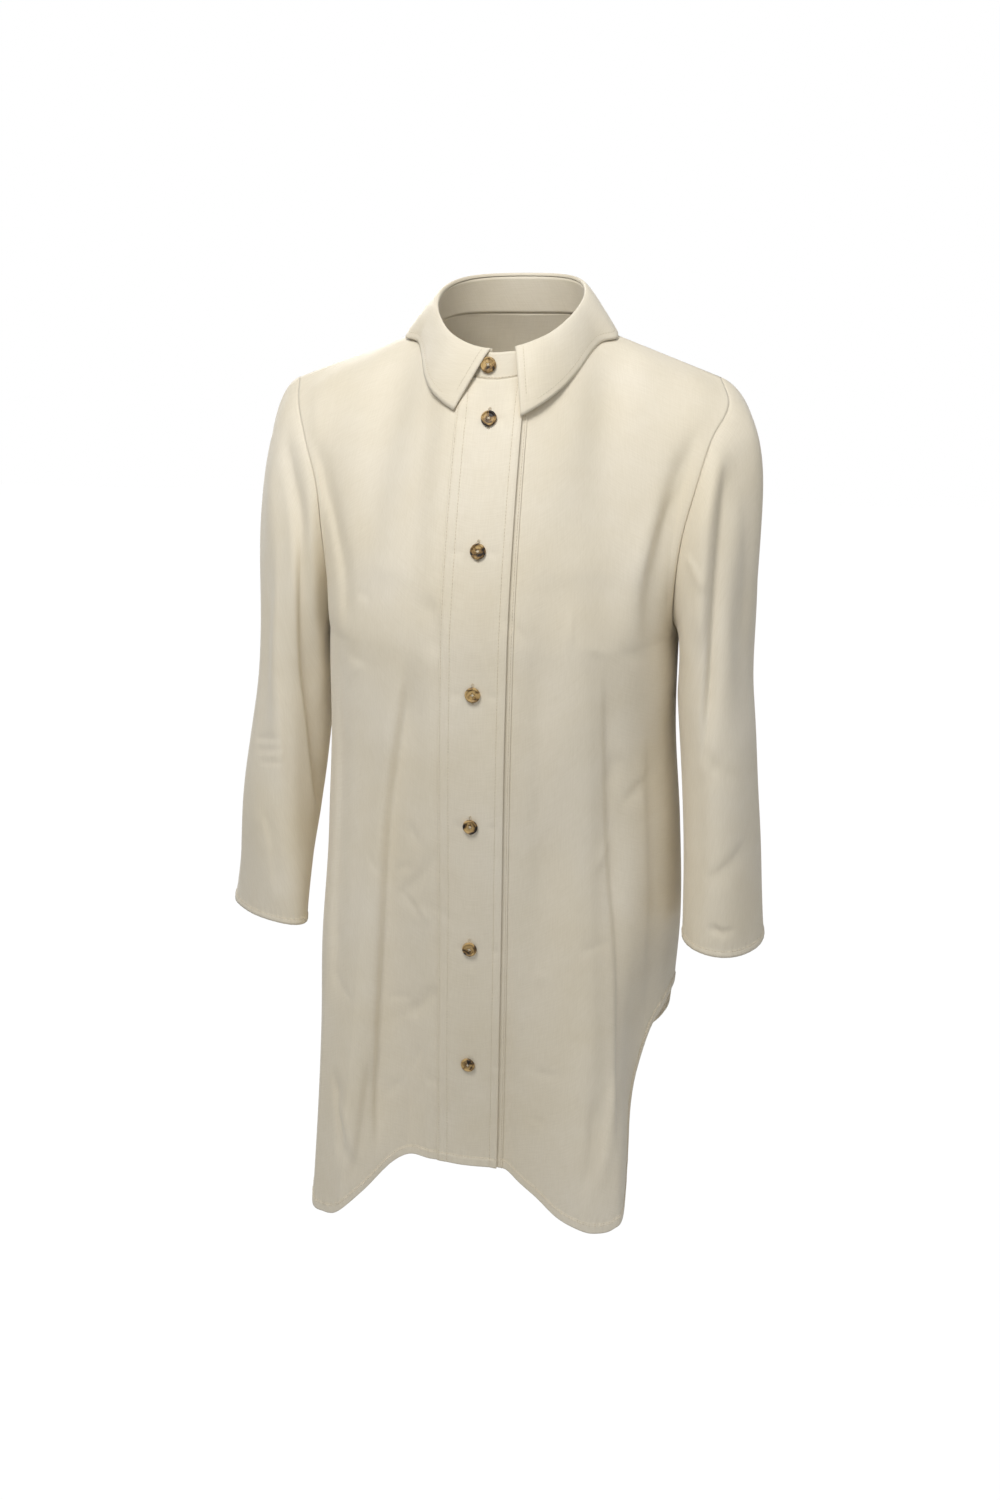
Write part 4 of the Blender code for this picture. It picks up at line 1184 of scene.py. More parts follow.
class Nodes:
    """A node tree with short ways to add and join nodes."""

    def __init__(self, owner: bpy.types.Material | bpy.types.World) -> None:
        """Take up the tree of a material or of a world."""
        owner.use_nodes = True
        self.owner = owner
        self.tree = owner.node_tree

    @property
    def shader(self) -> bpy.types.Node:
        """The Principled shader that a material starts with."""
        return self.tree.nodes["Principled BSDF"]

    def put(self, node: bpy.types.Node, **values: float | tuple[float, ...]) -> bpy.types.Node:
        """Set a node's inputs, by name with _ for a space."""
        for key, value in values.items():
            node.inputs[key.replace("_", " ")].default_value = value
        return node

    def add(self, kind: str, **values: float | tuple[float, ...]) -> bpy.types.Node:
        """A node of a kind with its inputs set."""
        return self.put(self.tree.nodes.new(kind), **values)

    def join(self, source: Socket, target: Socket) -> None:
        """Link one socket to another."""
        self.tree.links.new(source, target)

    def place(self) -> Socket:
        """The piece's own coordinates."""
        return self.add("ShaderNodeTexCoord").outputs["Object"]

    def noise(self, place: Socket, **values: float) -> Socket:
        """A noise texture's strength over some coordinates."""
        node = self.add("ShaderNodeTexNoise", **values)
        self.join(place, node.inputs["Vector"])
        return node.outputs["Fac"]

    def math(self, operation: str, *values: Socket | float) -> Socket:
        """A math node's result; each value is a number or the socket that it comes from."""
        node = self.add("ShaderNodeMath")
        node.operation = operation
        for target, value in zip(node.inputs, values):
            if isinstance(value, float):
                target.default_value = value
            else:
                self.join(value, target)
        return node.outputs[0]

    def ramp(self, source: Socket, *stops: tuple[float, ...]) -> Socket:
        """A colour ramp: each stop is its place and its red, green and blue."""
        node = self.add("ShaderNodeValToRGB")
        elements = node.color_ramp.elements
        while len(elements) < len(stops):
            elements.new(0.5)
        for element, (at, *colour) in zip(elements, stops):
            element.position = at
            element.color = (*colour, 1.0)
        self.join(source, node.inputs["Fac"])
        return node.outputs["Color"]

    def mixed(self, share: Socket, first: Socket, second: Socket) -> Socket:
        """Two shaders, mixed by a share of the second."""
        node = self.add("ShaderNodeMixShader")
        for source, target in zip((share, first, second), node.inputs):
            self.join(source, target)
        return node.outputs[0]

    def tinted(self, colour: Socket, shade: Socket) -> Socket:
        """One colour multiplied by another."""
        node = self.add("ShaderNodeMix")
        node.data_type, node.blend_type = "RGBA", "MULTIPLY"
        node.inputs[0].default_value = 1.0
        self.join(colour, node.inputs[6])
        self.join(shade, node.inputs[7])
        return node.outputs[2]


@dataclass(frozen=True)
class Crepe:
    """Cream crepe: a fine crinkled weave, slightly lustrous."""

    name: str = "cream_crepe"
    low: Triple = (0.8, 0.718, 0.556)
    high: Triple = (0.862, 0.79, 0.65)
    slubs: Rows = ((900.0, 70.0, 1.0), (60.0, 1000.0, 1.0))
    thin: Triple = (0.982, 0.98, 0.974)
    thick: Triple = (1.016, 1.018, 1.022)
    thread_scale: float = 620.0
    thread_share: float = 0.35
    crinkle_scale: float = 1100.0
    bump_height: float = 0.00016
    roughness: float = 0.56
    sheen: float = 0.22

    def make(self) -> bpy.types.Material:
        """Triple from broad noise and uneven threads; a bump from crinkles and crossed waves."""
        nodes = Nodes(bpy.data.materials.new(self.name))
        broad = nodes.noise(nodes.place(), Scale=11.0, Detail=3.0, Roughness=0.55)
        colour = nodes.ramp(broad, (0.3, *self.low), (0.7, *self.high))
        chart = nodes.add("ShaderNodeUVMap")
        chart.uv_map = "cut"
        cut = chart.outputs["UV"]
        for scale in self.slubs:
            lie = nodes.add("ShaderNodeMapping", Scale=scale)
            nodes.join(cut, lie.inputs["Vector"])
            slub = nodes.noise(lie.outputs["Vector"], Scale=1.0, Detail=2.0, Roughness=0.6)
            colour = nodes.tinted(colour,
                                  nodes.ramp(slub, (0.35, *self.thin), (0.65, *self.thick)))
        height = nodes.noise(cut, Scale=self.crinkle_scale, Detail=2.0, Roughness=0.6)
        for direction in ("X", "Y"):
            wave = nodes.add("ShaderNodeTexWave", Scale=self.thread_scale, Distortion=1.2,
                             Detail=1.0)
            wave.bands_direction = direction
            nodes.join(cut, wave.inputs["Vector"])
            height = nodes.math("MULTIPLY_ADD", wave.outputs["Fac"], self.thread_share, height)
        bump = nodes.add("ShaderNodeBump", Strength=0.45, Distance=self.bump_height)
        nodes.join(height, bump.inputs["Height"])
        nodes.join(colour, nodes.shader.inputs["Base Color"])
        nodes.join(bump.outputs["Normal"], nodes.shader.inputs["Normal"])
        nodes.put(nodes.shader, Roughness=self.roughness, Sheen_Weight=self.sheen,
                  Sheen_Roughness=0.45, Specular_IOR_Level=0.38)
        return nodes.owner


@dataclass(frozen=True)
class Thread:
    """Sewing thread, a little deeper than the cloth."""

    name: str = "cream_thread"
    colour: Triple = (0.71, 0.62, 0.465)
    darkest: float = 0.86
    lightest: float = 1.12
    roughness: float = 0.48

    def make(self) -> bpy.types.Material:
        """Triple from fine noise around the thread's own, with a soft gloss."""
        nodes = Nodes(bpy.data.materials.new(self.name))
        fine = nodes.noise(nodes.place(), Scale=900.0, Detail=2.0)
        dark = tuple(self.darkest * c for c in self.colour)
        light = tuple(min(1.0, self.lightest * c) for c in self.colour)
        nodes.join(nodes.ramp(fine, (0.35, *dark), (0.65, *light)),
                   nodes.shader.inputs["Base Color"])
        nodes.put(nodes.shader, Roughness=self.roughness)
        return nodes.owner


@dataclass(frozen=True)
class Horn:
    """Mottled horn: gold-brown with near-black patches under a polish."""

    name: str = "horn"
    share_dark: float = 0.42
    steps: Triple = (-0.05, 0.03, 0.13)
    black: Triple = (0.012, 0.007, 0.004)
    brown: Triple = (0.23, 0.135, 0.048)
    gold: Triple = (0.54, 0.365, 0.15)

    def make(self) -> bpy.types.Material:
        """Triple from warped noise through a ramp of three browns."""
        nodes = Nodes(bpy.data.materials.new(self.name))
        patch = nodes.noise(nodes.place(), Scale=118.0, Detail=3.0, Distortion=1.1)
        stops = ((self.share_dark + step, *colour)
                 for step, colour in zip(self.steps, (self.black, self.brown, self.gold)))
        nodes.join(nodes.ramp(patch, *stops), nodes.shader.inputs["Base Color"])
        nodes.put(nodes.shader, Roughness=0.5, Specular_IOR_Level=0.3, Coat_Weight=0.04,
                  Coat_Roughness=0.2)
        return nodes.owner


# ---- the shirt's parts


@dataclass
class Wardrobe:
    """The finishes, and the one way in which every piece is declared."""

    cloth: bpy.types.Material
    thread: bpy.types.Material
    horn: bpy.types.Material

    def dress(self, item: bpy.types.Object, material: bpy.types.Material, slot: str,
              *nodes: str) -> None:
        """Give a piece its finish, its slot, its body and the nodes that it stands for.

        Args:
            item: The piece.
            material: Its finish.
            slot: The record's slot for it.
            nodes: CAD nodes that it replaces.
        """
        item.data.materials.append(material)
        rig.ride(item, "root")
        if nodes:
            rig.replaces(item, *nodes)
        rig.slot(item, slot)
        LOG.info("%s: %d faces", item.name, len(item.data.polygons))

    def sheet(self, node: str, grid: Grid, held: str, thickness: float) -> None:
        """The cloth that stands for a node, with the flat size that it was cut to.

        Args:
            node: The CAD node, whose name the piece takes up.
            grid: Its outer surface.
            held: How the cloth is held.
            thickness: How far apart its two faces are.
        """
        item = Shell(thickness).build(f"{node}_cloth", grid)
        self.dress(item, self.cloth, "cream_crepe", node)
        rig.sheet(item, held=held, **grid.cut())

    def stitches(self, name: str, *parts: Mesh) -> None:
        """One piece of thread from several rows of stitches."""
        self.dress(mesh_piece(name, *gather(parts)), self.thread, "cream_crepe")


@dataclass
class Fronts:
    """The two fronts and their plackets."""

    panel: BodyPanel
    sizes: Sizes = Sizes()
    soften: float = 0.00045
    soft_width: float = 0.0013
    groove: float = 0.00028
    groove_width: float = 0.0009
    pucker: float = 0.00007
    pucker_length: float = 0.0085
    pucker_width: float = 0.004
    pucker_start: float = 900.0
    hem_share: float = 0.8
    top_beyond: float = 0.025
    top_band: float = 0.0265
    top_rows: StitchRows = ((Edge.FIRST, 0.0068), (Edge.LAST, 0.0016), (Edge.LAST, 0.0092))
    under_beyond: float = 0.024
    under_band: float = 0.029
    under_rows: StitchRows = ((Edge.FIRST, 0.0018), (Edge.LAST, 0.0016))
    band_columns: int = 45
    band_even: float = 0.35
    wall: float = 0.0006
    band_wall: float = 0.0008
    top: Grid = field(init=False)

    def station_at(self, distance: float) -> float:
        """The neckline station at a distance from the centre: arcsin(distance / half width)."""
        body = self.panel.body
        return math.asin(distance / body.neck_half_width) / body.shoulder_turn

    def stations(self, beyond: float, band: float) -> Array:
        """Columns from the free edge over the band's edge to the armhole."""
        first, inner = self.station_at(-beyond), self.station_at(band)
        return np.concatenate([np.linspace(first, inner, self.sizes.band + 1),
                               np.linspace(inner, 1.0, self.sizes.neck)[1:],
                               np.linspace(1.0, 2.0, self.sizes.shoulder + 1)[1:]])

    def band_stations(self, beyond: float, band: float) -> Array:
        """A placket's columns, closest at its edges: 1 - cos(pi t) mixed with even steps."""
        t = np.linspace(0.0, 1.0, self.band_columns)
        t = self.band_even * t + (1 - self.band_even) * (1 - np.cos(math.pi * t)) / 2
        first, inner = self.station_at(-beyond), self.station_at(band)
        return first + (inner - first) * t

    def cloth(self, side: Side, stations: Array) -> Grid:
        """One front's folded cloth at some stations."""
        downs = self.sizes.downs()
        return self.panel.folded(self.panel.plain(side, stations, downs), stations, downs)

    def band(self, side: Side, stations: Array, rows: StitchRows) -> Grid:
        """A placket over its front: a layer higher, rounded at its edges, grooved at its stitches.

        Args:
            side: Whose front it lies on.
            stations: Its columns.
            rows: Each stitch row's edge and its distance from it.

        Returns:
            The placket's outer surface.
        """
        under = self.cloth(side, stations)
        layers, hem = self.panel.layers, self.panel.hem
        runs = {edge: under.distance(edge) for edge in (Edge.FIRST, Edge.LAST)}
        height = layers.gap + layers.band_wall
        height = height - self.soften * sum(hump(run, self.soft_width) for run in runs.values())
        down = under.distance(Edge.TOP)
        for edge, width in rows:
            off = runs[edge] - width
            wave = np.sin(down * 2 * math.pi / self.pucker_length + width * self.pucker_start)
            height = height - self.groove * hump(off, self.groove_width)
            height = height + self.pucker * wave * hump(off, self.pucker_width)
        turned = hem.height(under.distance(Edge.BOTTOM), runs[Edge.FIRST])
        return under.raised(height).raised(turned * self.hem_share)

    def build(self, wardrobe: Wardrobe) -> None:
        """The fronts, the plackets over them and their stitches."""
        stitch, hem = Stitching(), self.panel.hem
        hems = []
        for side, name, beyond, band in ((Side.LEFT, "left", self.under_beyond, self.under_band),
                                         (Side.RIGHT, "right", self.top_beyond, self.top_band)):
            grid = self.panel.hemmed(self.cloth(side, self.stations(beyond, band)))
            wardrobe.sheet(f"front_{name}", grid, "hung", self.wall)
            hems += stitch.hem_rows(grid, hem)
        top = self.band_stations(self.top_beyond, self.top_band)
        under = self.band_stations(self.under_beyond, self.under_band)
        self.top = self.band(Side.RIGHT, top, self.top_rows)
        for grid, name, rows in ((self.top, "top", self.top_rows),
                                 (self.band(Side.LEFT, under, self.under_rows), "under",
                                  self.under_rows)):
            wardrobe.sheet(f"placket_{name}", grid, "hung", self.band_wall)
            wardrobe.stitches(f"placket_{name}_stitches",
                              *(stitch.along(grid, edge, width) for edge, width in rows),
                              stitch.along(grid, Edge.BOTTOM, hem.width))
        wardrobe.stitches("front_hem_stitches", *hems)

    def on_centre(self, z: float) -> tuple[Vector, Vector]:
        """The top placket's point and outward normal on the centre line at a height."""
        stations = self.band_stations(self.top_beyond, self.top_band)
        column = float(np.interp(0.0, stations, np.arange(len(stations))))
        rows = np.arange(len(self.top.place), dtype=float)
        return self.top.spot(rows, np.full(len(rows), column), 2, z)


@dataclass
class Back:
    """The back, in one piece."""

    panel: BodyPanel
    sizes: Sizes = Sizes()
    wall: float = 0.0006

    def build(self, wardrobe: Wardrobe) -> None:
        """The back's cloth and its hem stitches."""
        stations = np.concatenate([np.linspace(0.0, 1.0, self.sizes.neck + 1),
                                   np.linspace(1.0, 2.0, self.sizes.shoulder)[1:]])
        downs = self.sizes.downs()
        left, right = (self.panel.plain(side, stations, downs).place for side in Side)
        place = np.concatenate([left[:, ::-1], right[:, 1:]], axis=1)
        both = np.concatenate([stations[::-1], stations[1:]])
        grid = self.panel.hemmed(self.panel.folded(Grid(place), both, downs))
        wardrobe.sheet("back", grid, "hung", self.wall)
        wardrobe.stitches("back_hem_stitches", *Stitching().hem_rows(grid, self.panel.hem))


@dataclass
class Sleeve:
    """One sleeve with its folds and its turned cuff edge."""

    form: SleeveForm
    creases: tuple[Crease, ...]
    ripple: Ripple
    hem: Hem = Hem(width=0.0052, pucker=0.00025)
    metres_per_degree: float = 0.00083
    columns: int = 168
    cap_rows: int = 66
    arm_rows: int = 108
    clear_rows: int = 16
    outer_span: tuple[float, float] = (-0.2, 0.7)
    inner_ripple: float = 0.35
    wall: float = 0.0006

    def build(self, wardrobe: Wardrobe) -> None:
        """The sleeve's cloth and its cuff stitches.

        The ripples are full on the outside of the arm and weaker towards the body.
        """
        name = "sleeve_left" if self.form.side is Side.LEFT else "sleeve_right"
        grid, around = self.form.grid(self.columns, self.cap_rows, self.arm_rows)
        turn = np.broadcast_to(np.degrees(around) * self.metres_per_degree, grid.place.shape[:2])
        scaled = tuple(replace(crease, line=tuple((a * self.metres_per_degree, z)
                                                  for a, z in crease.line))
                       for crease in self.creases)
        clear = ease(np.arange(len(grid.place)), 0, self.clear_rows)[:, None]
        outer = ease(-np.cos(around - math.pi), *self.outer_span)
        outer = self.inner_ripple + (1.0 - self.inner_ripple) * outer
        push = crease_push(scaled, turn, grid.place[..., 2])
        push = push + self.ripple.push(grid.place[..., 1], grid.place[..., 2]) * outer
        grid = grid.raised(push * clear)
        grid = grid.raised(self.hem.height(grid.distance(Edge.BOTTOM), turn))
        wardrobe.sheet(name, grid, "hung", self.wall)
        wardrobe.stitches(f"{name}_stitches", Stitching().along(grid, Edge.BOTTOM, self.hem.width))


@dataclass
class Collar:
    """The stand round the neck and the leaf that folds over it."""

    body: BodyForm
    fronts: Fronts
    heights: Triple = (0.0205, 0.024, 0.03)
    lean: float = 0.22
    tab_rounding: float = 0.0045
    rounding_points: int = 9
    rounding_power: float = 2.2
    base_rows: Triple = (0.0, 0.01, 0.02)
    front_points: int = 64
    back_points: int = 49
    stand_rows: int = 13
    stand_wall: float = 0.0009
    stand_row: float = 0.0016
    roll_rise: float = 0.009
    roll_out: float = 0.0066
    roll_over: float = 0.0046
    roll_end: float = 0.3
    roll_rows: int = 14
    fall_rows: int = 27
    fall_share: float = 0.2
    relief_start: float = 0.12
    tab_turns: tuple[float, float] = (0.42, 0.75)
    leaf_columns: int = 221
    leaf_wall: float = 0.001
    leaf_lift: float = 0.0022
    tip_lift: float = 0.007
    tip_turns: tuple[float, float] = (0.9, 0.35)
    end_left: float = math.radians(14)
    end_right: float = math.radians(2)
    row_inset: float = 0.0062
    row_share: tuple[float, float] = (0.028, 0.972)
    end_share: tuple[float, float] = (0.33, 0.9)
    groove: float = 0.00032
    groove_width: float = 0.0009
    soften: float = 0.0004
    soft_width: float = 0.001
    button_x: float = -0.003
    button_aside: float = 0.002
    button_rise: float = 0.52
    tab_columns: int = 40
    leaf_front_left: Table = Table(LEAF_COLUMNS, (
        (0.00, 0.22, 0.176), (0.25, 0.48, 0.152),
        *LEAF_FRONT,
    ))
    leaf_front_right: Table = Table(LEAF_COLUMNS, (
        (0.00, 0.26, 0.164), (0.25, 0.52, 0.15),
        *LEAF_FRONT,
    ))
    leaf_back: Table = Table(LEAF_COLUMNS, (
        (0.00, 1.2, 0.000), (0.15, 1.14, 0.042), (0.35, 0.88, 0.076), (0.65, 0.46, 0.09),
        (1.00, 0.00, 0.09),
    ))
    stand: Grid = field(init=False)

    @property
    def layers(self) -> Layers:
        """The layers of the closed front that the collar's ends lie on."""
        return self.fronts.panel.layers

    def base(self) -> Array:
        """The neckline that the stand is sewn to, from the left front's edge to the right's."""
        fronts = self.fronts
        runs = []
        for side, beyond in ((Side.LEFT, fronts.under_beyond), (Side.RIGHT, fronts.top_beyond)):
            stations = np.linspace(fronts.station_at(-beyond), 1.0, self.front_points)
            place = self.body.surface(side, Half.FRONT, *np.meshgrid(stations, self.base_rows))
            grid = Grid(place, flip=side is Side.RIGHT)
            runs.append((self.layers.lifted(grid) if grid.flip else grid).place[0])
        stations = np.linspace(1.0, 0.0, self.back_points)
        left = self.body.top_edge(Side.LEFT, stations, Half.BACK)
        right = self.body.top_edge(Side.RIGHT, stations[::-1], Half.BACK) * (-1.0, 1.0, 1.0)
        return np.concatenate([runs[0], left[1:], right[1:-1], runs[1][::-1]])

    def crest(self, base: Array, turn: Array) -> Array:
        """The stand's upper edge: its height over the base, leaning in, with one end rounded."""
        inward = points(-np.sin(turn), np.cos(turn), np.zeros_like(turn))
        top = base + (inward * self.lean + UP) * by_turn(turn, *self.heights)[:, None]
        count = self.rounding_points
        top[-count:, 2] -= np.linspace(0, 1, count) ** self.rounding_power * self.tab_rounding
        return top

    def leaf_edge(self, turn: Array) -> Array:
        """The leaf's outer edge, a lift over the fronts, the shoulders and the back."""
        folded = math.pi - np.abs(math.pi - turn)
        half_turn = np.where(turn < math.pi, 1.0, -1.0)
        edge = np.zeros(turn.shape + (3,))
        early, late = self.tip_turns
        lift = self.leaf_lift + (self.tip_lift - self.leaf_lift) * ease(-folded, -early, -late)
        middle = self.body.shoulder_turn
        for side, first, front in ((Side.LEFT, self.end_left, self.leaf_front_left),
                                   (Side.RIGHT, self.end_right, self.leaf_front_right)):
            for half, reach, start, end in ((Half.FRONT, front, first, middle),
                                            (Half.BACK, self.leaf_back, middle, math.pi)):
                along = np.round((folded - start) / (end - start), 9)
                last = along <= 1.0 if half is Half.BACK else along < 1.0
                pick = (half_turn == side.value) & (along >= 0.0) & last
                at = reach.at(along[pick])
                place = (side, half, at["station"], at["down"])
                up = self.body.upward_normal(*place)
                edge[pick] = self.body.surface(*place) + up * lift[pick][:, None]
        return edge

    def leaf(self, crest: Array, turn: Array) -> Grid:
        """The leaf: at each turn a cubic from inside the stand's crest over the roll to its edge.

        Args:
            crest: The stand's upper edge.
            turn: The turn of each of its points.

        Returns:
            The leaf's outer surface, grooved at its stitches and soft at its rim.
        """
        dense = np.linspace(self.end_left, 2 * math.pi - self.end_right, self.leaf_columns)
        out = points(np.sin(dense), -np.cos(dense), np.zeros_like(dense))
        over_tab = (1.0 - ease(dense, *self.tab_turns))[:, None] * self.layers.lift
        start = interpolate(dense, turn, crest) - out * self.layers.wall + UP * self.layers.gap
        edge = self.leaf_edge(dense)
        rise = start + UP * (self.roll_rise + over_tab)
        knee = start + out * (self.roll_out + over_tab) + UP * self.roll_over
        fall = knee + (edge - knee) * self.fall_share
        t = np.concatenate([np.linspace(0.0, self.roll_end, self.roll_rows),
                            np.linspace(self.roll_end, 1.0, self.fall_rows)[1:]])[:, None, None]
        leaf = Grid(self.body.hang((1 - t) ** 3 * start + 3 * (1 - t) ** 2 * t * rise
                                   + 3 * (1 - t) * t ** 2 * fall + t ** 3 * edge))
        ends = np.minimum(leaf.distance(Edge.FIRST), leaf.distance(Edge.LAST))
        rim = np.minimum(leaf.distance(Edge.BOTTOM), ends)
        relief = (-self.groove * hump(rim - self.row_inset, self.groove_width)
                  - self.soften * hump(rim, self.soft_width))
        return leaf.raised(relief * ease(t[..., 0], self.relief_start, self.roll_end))

    def build(self, wardrobe: Wardrobe) -> None:
        """The stand, the leaf and the stitches inside the leaf's edge."""
        base, body = self.base(), self.body
        turn = np.unwrap(np.arctan2(base[:, 0] / body.neck_half_width,
                                    (body.neck_centre_y - base[:, 1]) / body.neck_half_depth))
        crest = self.crest(base, turn)
        share = np.linspace(0.0, 1.0, self.stand_rows)[:, None, None]
        self.stand = Grid(body.hang(crest + (base - crest) * share))
        wardrobe.sheet("collar_stand", self.stand, "stretched", self.stand_wall)
        leaf = self.leaf(crest, turn)
        wardrobe.sheet("collar_leaf", leaf, "folded", self.leaf_wall)
        stitch = Stitching()
        wardrobe.stitches("collar_stitches",
                          stitch.along(leaf, Edge.BOTTOM, self.row_inset, *self.row_share),
                          stitch.along(leaf, Edge.FIRST, self.row_inset, *self.end_share),
                          stitch.along(leaf, Edge.LAST, self.row_inset, *self.end_share),
                          stitch.along(self.stand, Edge.BOTTOM, self.stand_row))

    def on_tab(self) -> tuple[Vector, Vector]:
        """The stand's point and outward normal where its button sits, on its lapped end."""
        rows, columns = self.stand.place.shape[:2]
        line = np.arange(columns - self.tab_columns, columns, dtype=float)
        level = np.full(len(line), (1.0 - self.button_rise) * (rows - 1))
        x = self.button_x + self.body.lean_at_neck - self.button_aside
        return self.stand.spot(level, line, 0, x)


@dataclass(frozen=True)
class Button:
    """A turned horn button with four holes, sewn on with crossed thread."""

    radius: float = 0.0063
    thickness: float = 0.0028
    rim: float = 0.0019
    rim_share: float = 0.42
    rim_points: int = 11
    face_points: int = 26
    dish: float = 0.0009
    dish_slope: tuple[float, float] = (0.55, 1.25)
    middle: float = 0.0001
    hole_circle: float = 0.0015
    hole_radius: float = 0.00055
    hole_depth: float = 0.0011
    hole_near: float = 0.7
    hole_far: float = 1.25
    around: int = 72
    stand_off: float = 0.0003
    strands: tuple[float, ...] = (-0.00022, 0.0, 0.00022)
    strand_size: float = 0.0003
    strand_rise: float = 0.00015
    strand_reach: float = 2.15

    def profile(self) -> Array:
        """Radius and height from the back's edge over the rounded rim into the dish."""
        turn = np.linspace(-0.5 * math.pi, 0.5 * math.pi, self.rim_points)
        edge = self.thickness * self.rim_share
        rim = np.stack([self.radius - edge + edge * np.cos(turn),
                        self.thickness * 0.5 + self.thickness * 0.5 * np.sin(turn)], axis=-1)
        inner = np.linspace(self.radius - edge, 0.0, self.face_points)[1:]
        slope = (-(self.radius - self.rim * share) for share in self.dish_slope)
        sunk = self.thickness - self.dish * ease(-inner, *slope)
        return np.concatenate([[(self.middle, 0.0)], rim, np.stack([inner, sunk], axis=-1)[:-1],
                               [(self.middle, sunk[-1])]])

    def turned(self, quarter: float) -> Mesh:
        """The button at the origin, its face up: the profile turned round, its holes sunk.

        Args:
            quarter: How far its holes are turned round.

        Returns:
            Vertices and faces.
        """
        profile = self.profile()
        turn = np.arange(self.around) * 2 * math.pi / self.around
        x, y = profile[:, :1] * np.cos(turn), profile[:, :1] * np.sin(turn)
        z = np.repeat(profile[:, 1:], self.around, axis=1)
        face = np.arange(len(profile))[:, None] > self.rim_points
        for angle in (quarter + k * math.pi / 2 for k in range(4)):
            off = np.hypot(x - self.hole_circle * math.cos(angle),
                           y - self.hole_circle * math.sin(angle))
            open_share = 1 - ease(off, self.hole_radius * self.hole_near,
                                  self.hole_radius * self.hole_far)
            z = z - np.where(face, self.hole_depth * open_share, 0.0)
        return points(x, y, z).reshape(-1, 3), tube_faces(len(profile), self.around)

    def crossed(self, quarter: float) -> Mesh:
        """The crossed thread over the holes, the button being at the origin."""
        level = self.thickness - self.dish + self.strand_rise
        places, ways = [], []
        for angle in (quarter, quarter + math.pi / 2):
            way = np.array([math.cos(angle), math.sin(angle), 0.0])
            across = np.array([-way[1], way[0], 0.0])
            places += [across * strand + UP * level for strand in self.strands]
            ways += [way] * len(self.strands)
        bars = Stitching(length=self.strand_reach * self.hole_circle, width=self.strand_size,
                         height=self.strand_size)
        return bars.bars(np.array(places), np.array(ways), np.repeat([UP], len(places), axis=0))

    def build(self, name: str, node: str, at: Vector, facing: Vector,
              wardrobe: Wardrobe, quarter: float) -> None:
        """The button and its thread, set on the cloth at a place.

        Args:
            name: The piece's name.
            node: The CAD node that it stands for.
            at: Where it sits.
            facing: The cloth's outward normal there.
            wardrobe: The finishes.
            quarter: How far its holes are turned round.
        """
        turned = np.array(Matrix(facing.to_track_quat("Z", "Y").to_matrix()))
        origin = np.array(at + facing * self.stand_off)
        body, faces = self.turned(quarter)
        wardrobe.dress(mesh_piece(name, body @ turned.T + origin, faces), wardrobe.horn, "horn",
                       node)
        thread, faces = self.crossed(quarter)
        wardrobe.stitches(f"{name}_thread", (thread @ turned.T + origin, faces))


@dataclass(frozen=True)
class Buttonhole:
    """A worked upright buttonhole: two rows of satin bars and a bar across each end."""

    length: float = 0.0164
    half_width: float = 0.00125
    pitch: float = 0.0006
    row_share: float = 0.55
    end_beyond: float = 0.0004
    end_half: float = 0.0002
    rise: float = 0.00012
    bar_width: float = 0.00056
    bar_height: float = 0.00026

    def bars(self, at: Vector, facing: Vector, shift: float) -> Mesh:
        """The buttonhole's thread at a place on the cloth.

        Args:
            at: Its button's place.
            facing: The cloth's outward normal there.
            shift: How far the hole lies above the button's middle.

        Returns:
            Vertices and faces.
        """
        up, down = np.array(facing), -UP
        down = down - up * (down @ up)
        down = down / np.linalg.norm(down)
        across = np.cross(down, up)
        steps = np.arange(-self.length / 2, self.length / 2, self.pitch) - shift
        places = [np.array(at) + down * steps[:, None]
                  + across * sign * self.half_width * self.row_share for sign in (-1.0, 1.0)]
        pair = np.array([[-self.end_half], [self.end_half]])
        places += [np.array(at) + down * (end + pair)
                   for end in (steps[0] - self.end_beyond, steps[-1] + self.end_beyond)]
        place = np.concatenate(places) + up * self.rise
        bars = Stitching(length=self.half_width, width=self.bar_width, height=self.bar_height)
        return bars.bars(place, *(np.repeat(v[None], len(place), axis=0) for v in (across, up)))


@dataclass
class Fastenings:
    """The buttons and their buttonholes down the front and on the stand."""

    fronts: Fronts
    collar: Collar
    hole_shift: float = 0.0005
    first_turn: float = 0.3
    turn_step: float = 0.47
    collar_turn: float = 0.9

    def build(self, wardrobe: Wardrobe) -> None:
        """Every button with its thread, and the worked holes behind them."""
        holes = []
        for number, z in enumerate(BUTTON_HEIGHTS, start=1):
            at, facing = self.fronts.on_centre(z)
            holes.append(Buttonhole().bars(at, facing, self.hole_shift))
            Button().build(f"horn_button_{number}", f"button_{number}", at, facing, wardrobe,
                           self.first_turn + self.turn_step * number)
        Button().build("horn_button_collar", "button_collar", *self.collar.on_tab(), wardrobe,
                       self.collar_turn)
        wardrobe.stitches("buttonholes", *holes)


# ---- the folds


